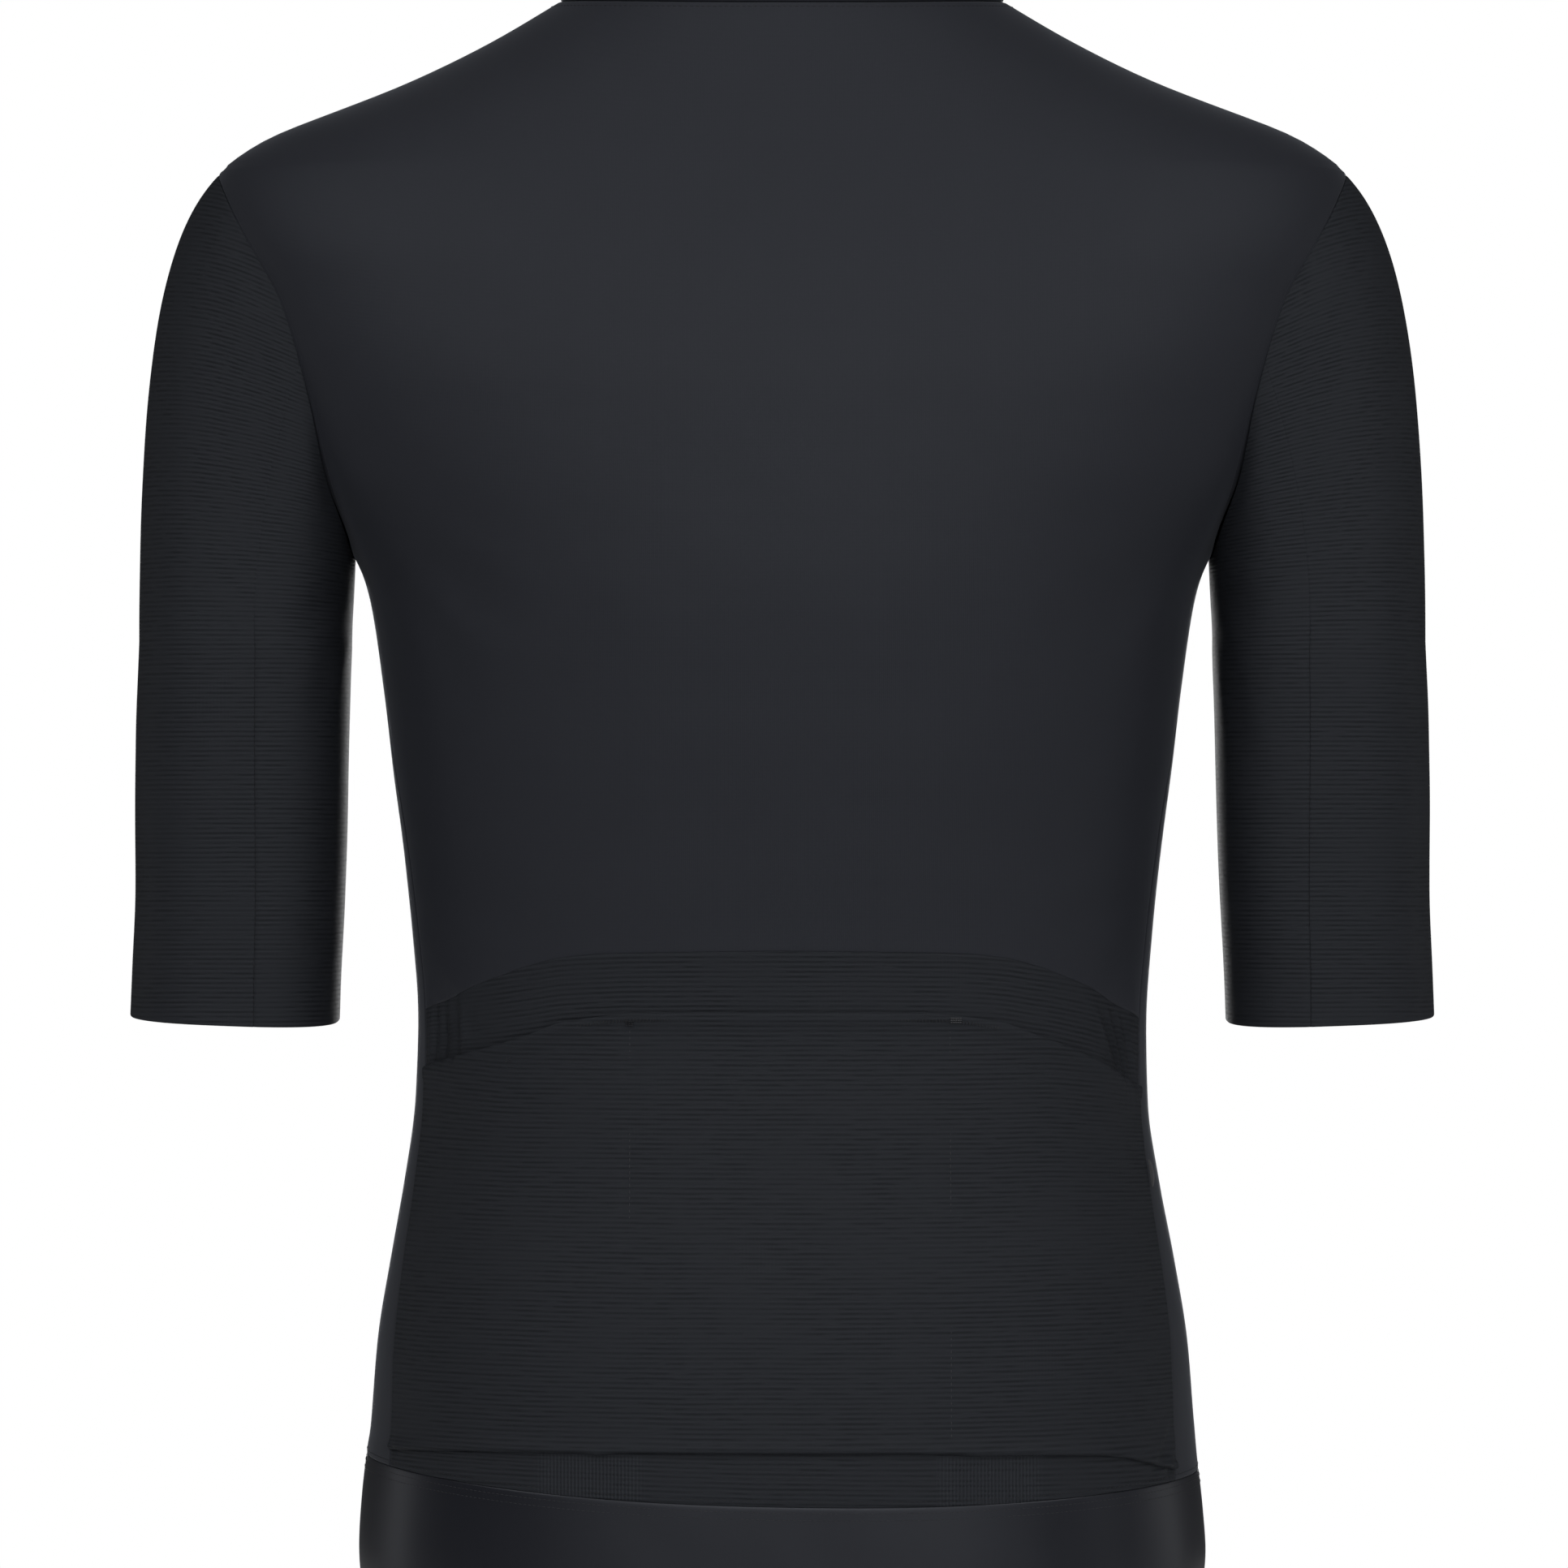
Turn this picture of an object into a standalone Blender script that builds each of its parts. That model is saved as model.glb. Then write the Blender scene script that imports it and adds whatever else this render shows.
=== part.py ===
"""Half-sleeved cycling jersey in its worn shape. Each cut piece of cloth is one closed wall.

The front faces -Y, +Z is up and the wearer's left is +X. Tables hold millimetres; the meshes are in metres.
The origin is the middle of the neck seam, level with that seam's two shoulder ends.
An angle goes round the body: 0 is the middle of the back, 90 the left side, 180 the middle of the front.
"""

import math

import bpy
import numpy as np

MM = 0.001

# Cloth and seams
KNIT_WALL = 1.5
POCKET_WALL = 1.2
BAND_WALL = 1.8
COLLAR_WALL = 1.6
SEAM_GAP = 0.42
LAYER_GAP = 0.30

# Heights that the pieces share
SHOULDER_Z = -73.0
ARMPIT_Z = -234.0
BICEP_Z = -270.0
BAND_DEEP = 46.0
EASE_REACH = 3

# The line of the shoulders from the neck to the sleeve seam, and of the sides from the armpit to the hem
SHOULDER_LINE = [
    (0.0, 91.3),
    (-17.0, 119.5),
    (-34.0, 153.3),
    (-50.0, 194.0),
    (-57.5, 213.5),
    (-64.0, 224.5),
    (-70.0, 232.8),
    (-73.0, 236.5),
]
SIDE_LINE = [
    (-234.0, 179.0),
    (-241.0, 175.6),
    (-255.0, 172.0),
    (-289.0, 167.0),
    (-323.0, 162.8),
    (-357.0, 158.1),
    (-391.0, 154.5),
    (-425.0, 152.2),
    (-459.0, 153.3),
    (-493.0, 158.1),
    (-527.0, 164.2),
    (-561.0, 169.5),
    (-595.0, 172.0),
    (-629.0, 175.8),
    (-648.0, 177.0),
    (-668.0, 175.2),
]
LINE = ("height", "half_width")

# How far the cloth stands behind and in front of the middle plane, and how square its rings are
DEPTH = ("height", "back", "front", "roundness")
BODY_DEPTH = [
    (6.0, 46.0, 33.0, 2.05),
    (0.0, 50.0, 38.0, 2.05),
    (-10.0, 57.0, 48.0, 2.08),
    (-25.0, 66.0, 61.0, 2.12),
    (-40.0, 73.5, 71.0, 2.16),
    (-54.0, 80.0, 79.0, 2.20),
    (-80.0, 91.0, 91.0, 2.26),
    (-120.0, 103.0, 103.0, 2.30),
    (-170.0, 111.0, 113.0, 2.30),
    (-233.0, 113.0, 118.0, 2.30),
    (-300.0, 107.0, 117.0, 2.30),
    (-360.0, 98.0, 111.0, 2.30),
    (-420.0, 91.0, 105.0, 2.30),
    (-480.0, 95.0, 104.0, 2.30),
    (-540.0, 105.0, 107.0, 2.30),
    (-600.0, 113.0, 110.0, 2.30),
    (-670.0, 115.0, 111.0, 2.30),
]

# The sleeve seam: its distance from the middle at each height, and how deep its oval is
ARMHOLE = ("height", "seam_x")
ARMHOLE_LINE = [
    (-73.0, 236.5),
    (-91.5, 228.0),
    (-106.4, 219.7),
    (-129.6, 206.7),
    (-171.0, 194.2),
    (-203.0, 187.5),
    (-223.0, 181.2),
    (-234.0, 179.0),
]
ARMHOLE_BACK = 58.0
ARMHOLE_FRONT = 65.0

# Where the seams run round the body
ROUND = ("angle", "height")
BOWED_SEAM = [
    (0.0, -396.3),
    (24.0, -397.5),
    (33.0, -399.5),
    (39.0, -402.5),
    (47.0, -407.5),
    (53.0, -411.0),
    (62.0, -417.0),
    (73.0, -421.5),
    (80.0, -424.5),
]
POCKET_MOUTH = [
    (0.0, -421.5),
    (20.0, -422.0),
    (33.0, -425.8),
    (39.0, -430.5),
    (53.0, -439.0),
    (73.0, -448.5),
    (80.0, -451.5),
]
SIDE_SEAM = ("height", "angle")
SIDE_SEAM_LINE = [
    (-234.0, 90.0),
    (-283.0, 86.5),
    (-340.0, 79.0),
    (-425.0, 75.0),
    (-520.0, 71.0),
    (-612.0, 67.0),
    (-660.0, 66.0),
]
POCKET_FOOT_MID, POCKET_FOOT_SIDE = -598.5, -605.5
BAND_TOP_BACK, BAND_TOP_SIDE, BAND_TOP_FRONT = -620.0, -611.0, -584.0
SHOULDER_SEAM_ANGLE = 97.0

# The cloth sits a little askew: how far it stands above or below its drafted height, at the ends of a row and
# 150 mm from the middle
ASKEW = ("height", "left_end", "right_end", "across")
ASKEW_TABLE = [
    (6.0, 0.0, 0.0, 0.0),
    (-392.0, 0.0, 0.0, 0.0),
    (-425.0, 0.6, -3.0, 0.0),
    (-447.0, 2.6, -4.6, 0.0),
    (-480.0, 0.6, -2.4, 0.0),
    (-530.0, 0.0, 0.0, 0.0),
    (-596.0, 0.0, 0.0, 0.0),
    (-609.0, 0.0, 0.0, 2.8),
    (-622.0, 0.0, 0.0, 2.8),
    (-664.0, 0.0, 0.0, 0.0),
    (-680.0, 0.0, 0.0, 0.0),
]
ASKEW_FROM_X, ASKEW_REACH, ASKEW_ARM = 108.0, 36.0, 150.0

# The neck seam: it dips a little behind, and runs down the front to the zip
NECK = ("height", "half_width")
NECK_BACK_DIP, NECK_SIDE_Z = -6.5, -1.0
NECK_FRONT = [
    (-1.5, 92.4),
    (-5.0, 88.0),
    (-10.0, 80.0),
    (-17.0, 71.0),
    (-25.0, 60.0),
    (-33.0, 48.0),
    (-41.0, 35.0),
    (-48.0, 20.0),
    (-52.0, 9.0),
    (-53.5, 3.4),
]
COLLAR_STAND_BACK, COLLAR_STAND_FRONT = 37.0, 33.0
COLLAR_NARROWS = 0.93
COLLAR_FORWARD_BACK, COLLAR_BACK_FRONT = 3.0, 5.5

# Sleeve rings below the armhole: outer and inner edge, back and front
ARM = ("height", "outer", "inner", "back", "front")
SLEEVE_RINGS = [
    (-270.0, 268.6, 180.3, 50.0, -50.0),
    (-306.0, 270.2, 181.6, 48.0, -51.5),
    (-340.0, 271.0, 182.6, 45.5, -52.5),
    (-374.0, 271.2, 184.0, 43.5, -54.0),
    (-408.0, 272.7, 185.8, 41.0, -55.0),
    (-426.4, 273.4, 186.4, 40.0, -56.0),
]
SLEEVE_ROUNDNESS = 2.6
SLEEVE_TILT_OUT, SLEEVE_TILT_FORWARD = 0.036, -0.045
CAP_LEAVES = {"reach_top": 0.195, "reach_under": 0.34, "rise_top": 0.525, "rise_under": 0.30}
CAP_OUTWARD, CAP_BACKWARD = 0.70, 0.10

# Zip: a coil between two tapes, and a slider with a pull
ZIP_EDGE_X = 3.4
COIL_HALF = 2.6
COIL_OUT, COIL_IN = 0.25, 1.45
TAPE_FROM_X, TAPE_TO_X = 0.7, 13.0
TAPE_DEEP, TAPE_WALL = 2.6, 1.0
SLIDER_BELOW_TOP = 6.5
PLATE_HALF_LONG, PLATE_HALF_WIDE = 5.4, 4.2
PLATE_LOW, PLATE_HIGH = 0.60, 2.00
CORE_HALF_WIDE, CORE_DEEP = 1.6, 1.3
PIN_ALONG, PIN_HIGH, PIN_RADIUS, PIN_HALF = -2.4, 4.10, 0.60, 3.0
LUG_HALF_LONG, LUG_THICK, LUG_OVER_PIN = 1.1, 0.8, 0.9
EYE_OUTER, EYE_INNER, EYE_HALF_WIDE = 1.75, 0.92, 1.8
TAB_LONG, TAB_HALF_WIDE, TAB_THICK = 17.0, 2.4, 1.2
PULL_TILT = 8.0

# The small folded tab in the right side seam
TAB_TOP_Z, TAB_FOOT_Z = -481.5, -493.5
TAB_STANDS, TAB_LAYER = 3.0, 1.1

# How finely each piece is cut into faces
ARMHOLE_STEPS = 12
BACK_STEPS = 14
FRONT_STEPS = 9
SIDE_ROWS = 8
SHOULDER_ROWS = 6
LOWER_ROWS = 9
CAP_ROWS = 7

FINISHES = {
    "smooth_knit": ((0.030, 0.032, 0.037), 0.85, 0.0),
    "ribbed_knit": ((0.020, 0.022, 0.026), 0.90, 0.0),
    "elastic_band": ((0.022, 0.024, 0.030), 0.55, 0.0),
    "zip_tape_cloth": ((0.012, 0.012, 0.014), 0.90, 0.0),
    "zip_coil": ((0.015, 0.015, 0.016), 0.40, 0.0),
    "zip_metal": ((0.045, 0.045, 0.050), 0.35, 0.9),
    "pale_tape": ((0.48, 0.48, 0.50), 0.70, 0.0),
}


def smooth_curve(xs, ys):
    """A curve through the points (xs, ys) that never overshoots them, and goes on straight past its ends."""
    order = np.argsort(xs)
    xs = np.asarray(xs, float)[order]
    ys = np.asarray(ys, float)[order]
    gaps = np.diff(xs)
    rises = np.diff(ys) / gaps
    slopes = np.empty_like(xs)
    slopes[0], slopes[-1] = rises[0], rises[-1]
    for i in range(1, len(xs) - 1):
        before, after = rises[i - 1], rises[i]
        slopes[i] = 0.0 if before * after <= 0 else 2.0 * before * after / (before + after)

    def at(x):
        x = np.asarray(x, float)
        i = np.clip(np.searchsorted(xs, x) - 1, 0, len(gaps) - 1)
        t = (x - xs[i]) / gaps[i]
        inside = np.clip(t, 0.0, 1.0)
        a = (1 + 2 * inside) * (1 - inside) ** 2
        b = inside * (1 - inside) ** 2
        c = inside**2 * (3 - 2 * inside)
        d = inside**2 * (inside - 1)
        y = a * ys[i] + b * gaps[i] * slopes[i] + c * ys[i + 1] + d * gaps[i] * slopes[i + 1]
        past = (t - inside) * gaps[i]
        return y + past * np.where(t < 0, slopes[0], slopes[-1])

    return at


def column(table, names, of):
    """The table's column `of`, as a curve over its first column."""
    rows = np.array(table)
    return smooth_curve(rows[:, 0], rows[:, names.index(of)])


shoulder_half = column(SHOULDER_LINE, LINE, "half_width")
side_half = column(SIDE_LINE, LINE, "half_width")
back_depth = column(BODY_DEPTH, DEPTH, "back")
front_depth = column(BODY_DEPTH, DEPTH, "front")
roundness = column(BODY_DEPTH, DEPTH, "roundness")
armhole_x = column(ARMHOLE_LINE, ARMHOLE, "seam_x")
bowed_seam = column(BOWED_SEAM, ROUND, "height")
pocket_mouth = column(POCKET_MOUTH, ROUND, "height")
side_seam = column(SIDE_SEAM_LINE, SIDE_SEAM, "angle")
neck_half = column(NECK_FRONT, NECK, "half_width")
askew_left = column(ASKEW_TABLE, ASKEW, "left_end")
askew_right = column(ASKEW_TABLE, ASKEW, "right_end")
askew_across = column(ASKEW_TABLE, ASKEW, "across")


def armhole_oval(height):
    """How full the armhole's oval is at this height: 0 at its top and foot, 1 half way."""
    middle, half = (SHOULDER_Z + ARMPIT_Z) / 2, (SHOULDER_Z - ARMPIT_Z) / 2
    return np.sqrt(np.clip(1.0 - ((height - middle) / half) ** 2, 0.0, 1.0))


def drafted_half_width(height):
    """Half the body's width as drafted. Beside the armhole it is as wide as the armhole's oval needs."""
    n = roundness(height)
    share = (ARMHOLE_BACK * armhole_oval(height) / back_depth(height)) ** n
    beside_arm = armhole_x(height) / (1.0 - share) ** (1.0 / n)
    above = shoulder_half(height)
    below = side_half(height)
    return np.where(height > SHOULDER_Z, above, np.where(height < ARMPIT_Z, below, beside_arm))


def eased(curve, low, high, reach):
    """The curve with each value averaged over a bell of this reach, so that its corners are rounded."""
    at = np.arange(low - 4 * reach, high + 4 * reach, 1.0)
    bell = np.exp(-0.5 * (np.arange(-3 * reach, 3 * reach + 1) / reach) ** 2)
    padded = np.pad(curve(at), len(bell) // 2, mode="reflect", reflect_type="odd")
    soft = np.convolve(padded, bell / bell.sum(), mode="valid")
    return lambda height: np.interp(height, at, soft)


half_width = eased(drafted_half_width, SIDE_LINE[-1][0], 6.0, EASE_REACH)


def askew(x, height):
    """How far the cloth stands above its drafted height."""
    near_end = np.clip((np.abs(x) - ASKEW_FROM_X) / ASKEW_REACH, 0.0, 1.15) ** 1.3
    ends = np.where(x > 0, askew_left(height), askew_right(height))
    return ends * near_end + askew_across(height) * x / ASKEW_ARM


def body_point(angle, height):
    """A point of the body's outer face."""
    angle, height = np.broadcast_arrays(np.asarray(angle, float), np.asarray(height, float))
    n = roundness(height)
    s, c = np.sin(np.radians(angle)), np.cos(np.radians(angle))
    x = half_width(height) * np.sign(s) * np.abs(s) ** (2 / n)
    depth = np.where(c > 0, back_depth(height), front_depth(height))
    y = depth * np.sign(c) * np.abs(c) ** (2 / n)
    return np.stack([x, y, height + askew(x, height)], axis=-1)


def unit(vectors):
    return vectors / np.linalg.norm(vectors, axis=-1, keepdims=True)


def body_normal(angle, height):
    """The direction out of the cloth, from points a little way round and a little way down."""
    turn, drop = 0.4, 0.4
    around = body_point(angle + turn, height) - body_point(angle - turn, height)
    down = body_point(angle, height - drop) - body_point(angle, height + drop)
    return unit(np.cross(around, down))


def angle_at_x(x, height, front):
    """The angle whose point is x from the middle plane, on the back or on the front."""
    ratio = np.clip(np.abs(x) / half_width(height), 0.0, 1.0)
    angle = np.degrees(np.arcsin(ratio ** (roundness(height) / 2)))
    angle = 180.0 - angle if front else angle
    return np.sign(x) * angle


def turn_for(distance, angle, height):
    """How many degrees move a point this far round the body."""
    step = 0.5
    chord = body_point(angle + step, height) - body_point(angle - step, height)
    return distance * 2 * step / np.linalg.norm(chord, axis=-1)


def armhole_angle(height, front):
    """The angle of the sleeve seam at this height."""
    oval = armhole_oval(height)
    reach = ARMHOLE_FRONT if front else ARMHOLE_BACK
    depth = front_depth(height) if front else back_depth(height)
    angle = np.degrees(np.arccos((reach * oval / depth) ** (roundness(height) / 2)))
    return 180.0 - angle if front else angle


def armhole_heights():
    """Heights round the armhole from its foot up, closer together near both ends."""
    turn = np.linspace(np.pi, 0.0, ARMHOLE_STEPS + 1)
    middle, half = (SHOULDER_Z + ARMPIT_Z) / 2, (SHOULDER_Z - ARMPIT_Z) / 2
    return middle + half * np.cos(turn)


def new_piece(name, points, faces, finish):
    """A mesh object in metres from points in millimetres."""
    mesh = bpy.data.meshes.new(name)
    corners = [tuple(float(v) * MM for v in point) for point in points]
    mesh.from_pydata(corners, [], [tuple(int(i) for i in face) for face in faces])
    mesh.materials.append(bpy.data.materials[finish])
    mesh.update()
    thing = bpy.data.objects.new(name, mesh)
    bpy.context.scene.collection.objects.link(thing)
    return thing


def wall(name, outer, inner, finish, tube=False):
    """A closed wall between two grids of points: rows go up, columns go round.

    The last column of a tube meets its first.
    """
    rows, columns = outer.shape[:2]
    points = np.concatenate([outer.reshape(-1, 3), inner.reshape(-1, 3)])
    half = rows * columns
    faces = []
    steps = columns if tube else columns - 1

    def place(i, j):
        return i * columns + j % columns

    for i in range(rows - 1):
        for j in range(steps):
            a, b, c, d = place(i, j), place(i, j + 1), place(i + 1, j + 1), place(i + 1, j)
            faces += [(a, b, c), (a, c, d)]
            faces += [(half + a, half + c, half + b), (half + a, half + d, half + c)]
    for j in range(steps):
        a, b = place(0, j), place(0, j + 1)
        faces += [(b, a, half + a), (b, half + a, half + b)]
        a, b = place(rows - 1, j), place(rows - 1, j + 1)
        faces += [(a, b, half + b), (a, half + b, half + a)]
    if not tube:
        for i in range(rows - 1):
            a, b = place(i, 0), place(i + 1, 0)
            faces += [(a, b, half + b), (a, half + b, half + a)]
            a, b = place(i, columns - 1), place(i + 1, columns - 1)
            faces += [(b, a, half + a), (b, half + a, half + b)]
    thing = new_piece(name, points, faces, finish)
    face_out(thing)
    return thing


def face_out(thing):
    """Turns every face over if the body's volume comes out negative."""
    mesh = thing.data
    volume = 0.0
    for face in mesh.polygons:
        corners = [mesh.vertices[i].co for i in face.vertices]
        for k in range(1, len(corners) - 1):
            volume += corners[0].dot(corners[k].cross(corners[k + 1]))
    if volume < 0:
        mesh.flip_normals()


# Sleeve


sleeve_outer = column(SLEEVE_RINGS, ARM, "outer")
sleeve_inner = column(SLEEVE_RINGS, ARM, "inner")
sleeve_back = column(SLEEVE_RINGS, ARM, "back")
sleeve_front = column(SLEEVE_RINGS, ARM, "front")


def sleeve_ring(turn, height):
    """A point of the left sleeve below the armhole. Turn 0 is its outer edge, 90 its back, 180 its inside."""
    c, s = np.cos(np.radians(turn)), np.sin(np.radians(turn))
    power = 2 / SLEEVE_ROUNDNESS
    middle_x = (sleeve_outer(height) + sleeve_inner(height)) / 2
    middle_y = (sleeve_back(height) + sleeve_front(height)) / 2
    x = middle_x + (sleeve_outer(height) - middle_x) * np.sign(c) * np.abs(c) ** power
    y = middle_y + (sleeve_back(height) - middle_y) * np.sign(s) * np.abs(s) ** power
    z = height + SLEEVE_TILT_OUT * (x - middle_x) + SLEEVE_TILT_FORWARD * (y - middle_y)
    return np.stack([x, y, z], axis=-1)


def armhole_point(turn):
    """A point of the left armhole seam. Turn 0 is its top, 90 its back, 180 its foot."""
    turn = np.asarray(turn, float) % 360.0
    middle, half = (SHOULDER_Z + ARMPIT_Z) / 2, (SHOULDER_Z - ARMPIT_Z) / 2
    height = middle + half * np.cos(np.radians(turn))
    angle = np.where(turn <= 180.0, armhole_angle(height, False), armhole_angle(height, True))
    return body_point(angle, height), angle, height


def armhole_turn(height, front):
    """How far round the armhole seam this height is."""
    middle, half = (SHOULDER_Z + ARMPIT_Z) / 2, (SHOULDER_Z - ARMPIT_Z) / 2
    turn = np.degrees(np.arccos(np.clip((height - middle) / half, -1.0, 1.0)))
    return 360.0 - turn if front else turn


def cap_point(turn, share):
    """A point of the sleeve cap, on a curve from the armhole seam (share 0) to the first ring (share 1)."""
    turn, share = np.broadcast_arrays(np.asarray(turn, float), np.asarray(share, float))
    start = armhole_point(turn)[0]
    end = sleeve_ring(turn, np.full(turn.shape, BICEP_Z))
    high = np.cos(np.radians(turn) / 2) ** 2
    across = np.sin(np.radians(turn))
    span = np.linalg.norm(end - start, axis=-1)
    reach = CAP_LEAVES["reach_under"] + (CAP_LEAVES["reach_top"] - CAP_LEAVES["reach_under"]) * high**2
    rise = CAP_LEAVES["rise_under"] + (CAP_LEAVES["rise_top"] - CAP_LEAVES["rise_under"]) * high**2
    out_x = CAP_OUTWARD * high
    out_y = -CAP_BACKWARD * across
    out_z = -np.sqrt(1.0 - out_x**2 - out_y**2)
    leave = np.stack([out_x, out_y, out_z], axis=-1)
    t = share[..., None]
    a = start + leave * (reach * span)[..., None]
    b = end + np.array([0.0, 0.0, 1.0]) * (rise * span)[..., None]
    return (1 - t) ** 3 * start + 3 * (1 - t) ** 2 * t * a + 3 * (1 - t) * t**2 * b + t**3 * end


def cap_normal(turn, share):
    around = cap_point(turn + 1.0, share) - cap_point(turn - 1.0, share)
    ahead = cap_point(turn, np.minimum(share + 0.02, 1.0)) - cap_point(turn, np.maximum(share - 0.02, 0.0))
    return unit(np.cross(ahead, around))


def ring_normal(turn, height):
    around = sleeve_ring(turn + 1.0, height) - sleeve_ring(turn - 1.0, height)
    down = sleeve_ring(turn, height - 1.0) - sleeve_ring(turn, height + 1.0)
    return unit(np.cross(down, around))


def seam_inward(turn):
    """At the armhole both walls end on the plane half way between them, so that neither enters the other."""
    _, angle, height = armhole_point(turn)
    both = unit(body_normal(angle, height)) + unit(cap_normal(turn, np.full(np.shape(turn), 0.03)))
    return unit(both)


def make_sleeve(name, side):
    turns = np.arange(2 * ARMHOLE_STEPS) * (180.0 / ARMHOLE_STEPS)
    shares = np.linspace(0.0, 1.0, CAP_ROWS + 1)
    shares = shares**1.15
    outer, away = [], []
    for share in shares:
        outer.append(cap_point(turns, np.full(turns.shape, share)))
        away.append(cap_normal(turns, np.full(turns.shape, share)))
    away[0] = seam_inward(turns)
    ahead = unit(cap_point(turns, np.full(turns.shape, 0.04)) - outer[0])
    _, angle, height = armhole_point(turns)
    under = np.sin(np.radians(turns) / 2)[:, None] ** 2
    outer[0] = outer[0] + SEAM_GAP * ahead + LAYER_GAP * under * body_normal(angle, height)
    for height in [row[0] for row in SLEEVE_RINGS[1:]]:
        levels = np.full(turns.shape, height)
        outer.append(sleeve_ring(turns, levels))
        away.append(ring_normal(turns, levels))
    outer, away = np.array(outer), np.array(away)
    inner = outer - KNIT_WALL * away
    mirror = np.array([side, 1.0, 1.0])
    return wall(name, outer * mirror, inner * mirror, "ribbed_knit", tube=True)


# Body panels


def band_top(angle):
    c = np.cos(np.radians(angle))
    reach = np.where(c > 0, BAND_TOP_BACK - BAND_TOP_SIDE, BAND_TOP_FRONT - BAND_TOP_SIDE)
    return BAND_TOP_SIDE + reach * c**2


def pocket_foot(angle):
    return POCKET_FOOT_MID + (POCKET_FOOT_SIDE - POCKET_FOOT_MID) * np.sin(np.radians(angle)) ** 2


def neck_back(angle):
    c = np.clip(np.cos(np.radians(angle)), 0.0, 1.0)
    return NECK_SIDE_Z + (NECK_BACK_DIP - NECK_SIDE_Z) * c**1.5


def body_wall(name, angles, heights, depth, finish, lift=0.0, edges=()):
    """A wall on the body's face. lift moves it out, depth is how thick it is, from its outer face in.

    Each of edges names a column of points that ends at a sleeve: (column, side, whether it is on the front).
    """
    face, away = body_point(angles, heights), body_normal(angles, heights)
    for j, side, front in edges:
        beside = (heights[:, j] < SHOULDER_Z + 0.01) & (heights[:, j] > ARMPIT_Z - 0.01)
        turn = armhole_turn(heights[beside, j], front)
        away[beside, j] = seam_inward(turn) * np.array([side, 1.0, 1.0])
    return wall(name, face + lift * away, face + (lift - depth) * away, finish)


def side_edges():
    """Heights and angles up the edge of the upper back: side seam, armhole, shoulder seam."""
    foot = float(bowed_seam(side_seam(-424.0)))
    below = np.linspace(foot, ARMPIT_Z, SIDE_ROWS + 1)[:-1]
    beside = armhole_heights()
    above = np.linspace(SHOULDER_Z, NECK_SIDE_Z, SHOULDER_ROWS + 1)[1:]
    heights = np.concatenate([below, beside, above])
    shoulder = np.full(above.shape, SHOULDER_SEAM_ANGLE)
    back = np.concatenate([side_seam(below), armhole_angle(beside, False), shoulder])
    front = np.concatenate([side_seam(below), armhole_angle(beside, True), shoulder])
    return heights, back, front


def upper_grid():
    """Angles and heights of the upper back's points."""
    heights, edge, _ = side_edges()
    across = np.linspace(-1.0, 1.0, BACK_STEPS + 1)
    last = edge - turn_for(SEAM_GAP / 2, edge, heights)
    angles = last[:, None] * across[None, :]
    foot_fade = np.clip((ARMPIT_Z - heights) / (ARMPIT_Z - heights[0]), 0.0, 1.0)[:, None] ** 1.5
    top_fade = np.clip((heights - SHOULDER_Z) / (heights[-1] - SHOULDER_Z), 0.0, 1.0)[:, None]
    bow = bowed_seam(np.abs(angles))
    bow = bow - bow[:, -1:]
    dip = neck_back(angles) - NECK_SIDE_Z
    levels = heights[:, None] + bow * foot_fade + dip * top_fade
    levels[0] += SEAM_GAP / 2
    return angles, levels


def make_back_upper():
    angles, levels = upper_grid()
    edges = [(0, -1.0, False), (-1, 1.0, False)]
    return body_wall("back_upper", angles, levels, KNIT_WALL, "smooth_knit", edges=edges)


def lower_grid():
    """Angles and heights of the lower back's points; the pocket cloth is made from some of its rows."""
    across = np.linspace(-1.0, 1.0, BACK_STEPS + 1)
    shares = np.concatenate([[0.0], 1.0 + np.linspace(0.0, 1.0, LOWER_ROWS + 1), [2.5, 3.0]])
    angles, levels = [], []
    for share in shares:
        seam = 70.0
        for _ in range(4):
            stops = [band_top(seam), pocket_foot(seam), pocket_mouth(seam), bowed_seam(seam)]
            level = float(np.interp(share, [0.0, 1.0, 2.0, 3.0], [float(v) for v in stops]))
            seam = float(side_seam(level))
        row = (seam - float(turn_for(SEAM_GAP / 2, seam, level))) * across
        apart = np.abs(row)
        stops = np.array([band_top(row), pocket_foot(row), pocket_mouth(apart), bowed_seam(apart)])
        low = min(int(share), 2)
        angles.append(row)
        levels.append(stops[low] + (stops[low + 1] - stops[low]) * (share - low))
    angles, levels = np.array(angles), np.array(levels)
    levels[0] += SEAM_GAP / 2
    levels[-1] -= SEAM_GAP / 2
    return angles, levels


def make_back_lower():
    angles, levels = lower_grid()
    return body_wall("back_lower", angles, levels, KNIT_WALL, "ribbed_knit")


def make_pocket_panel():
    angles, levels = lower_grid()
    rows = slice(1, LOWER_ROWS + 2)
    lift = LAYER_GAP + POCKET_WALL
    return body_wall("pocket_panel", angles[rows], levels[rows], POCKET_WALL, "ribbed_knit", lift)


def neck_front_grid(shares):
    """Angle and height of points along the front half of the neck seam, from the shoulder seam to the zip."""
    first = float(NECK_FRONT[0][0])
    last = float(NECK_FRONT[-1][0])
    fine = first + (last - first) * np.linspace(0.0, 1.0, 200) ** 1.3
    turn = np.abs(angle_at_x(neck_half(fine), fine, True))
    turn[0] = SHOULDER_SEAM_ANGLE
    turn = np.maximum.accumulate(np.maximum(turn, SHOULDER_SEAM_ANGLE))
    path = body_point(turn, fine)
    run = np.concatenate([[0.0], np.cumsum(np.linalg.norm(np.diff(path, axis=0), axis=1))])
    at = np.asarray(shares) * run[-1]
    return np.interp(at, run, turn), np.interp(at, run, fine)


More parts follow.
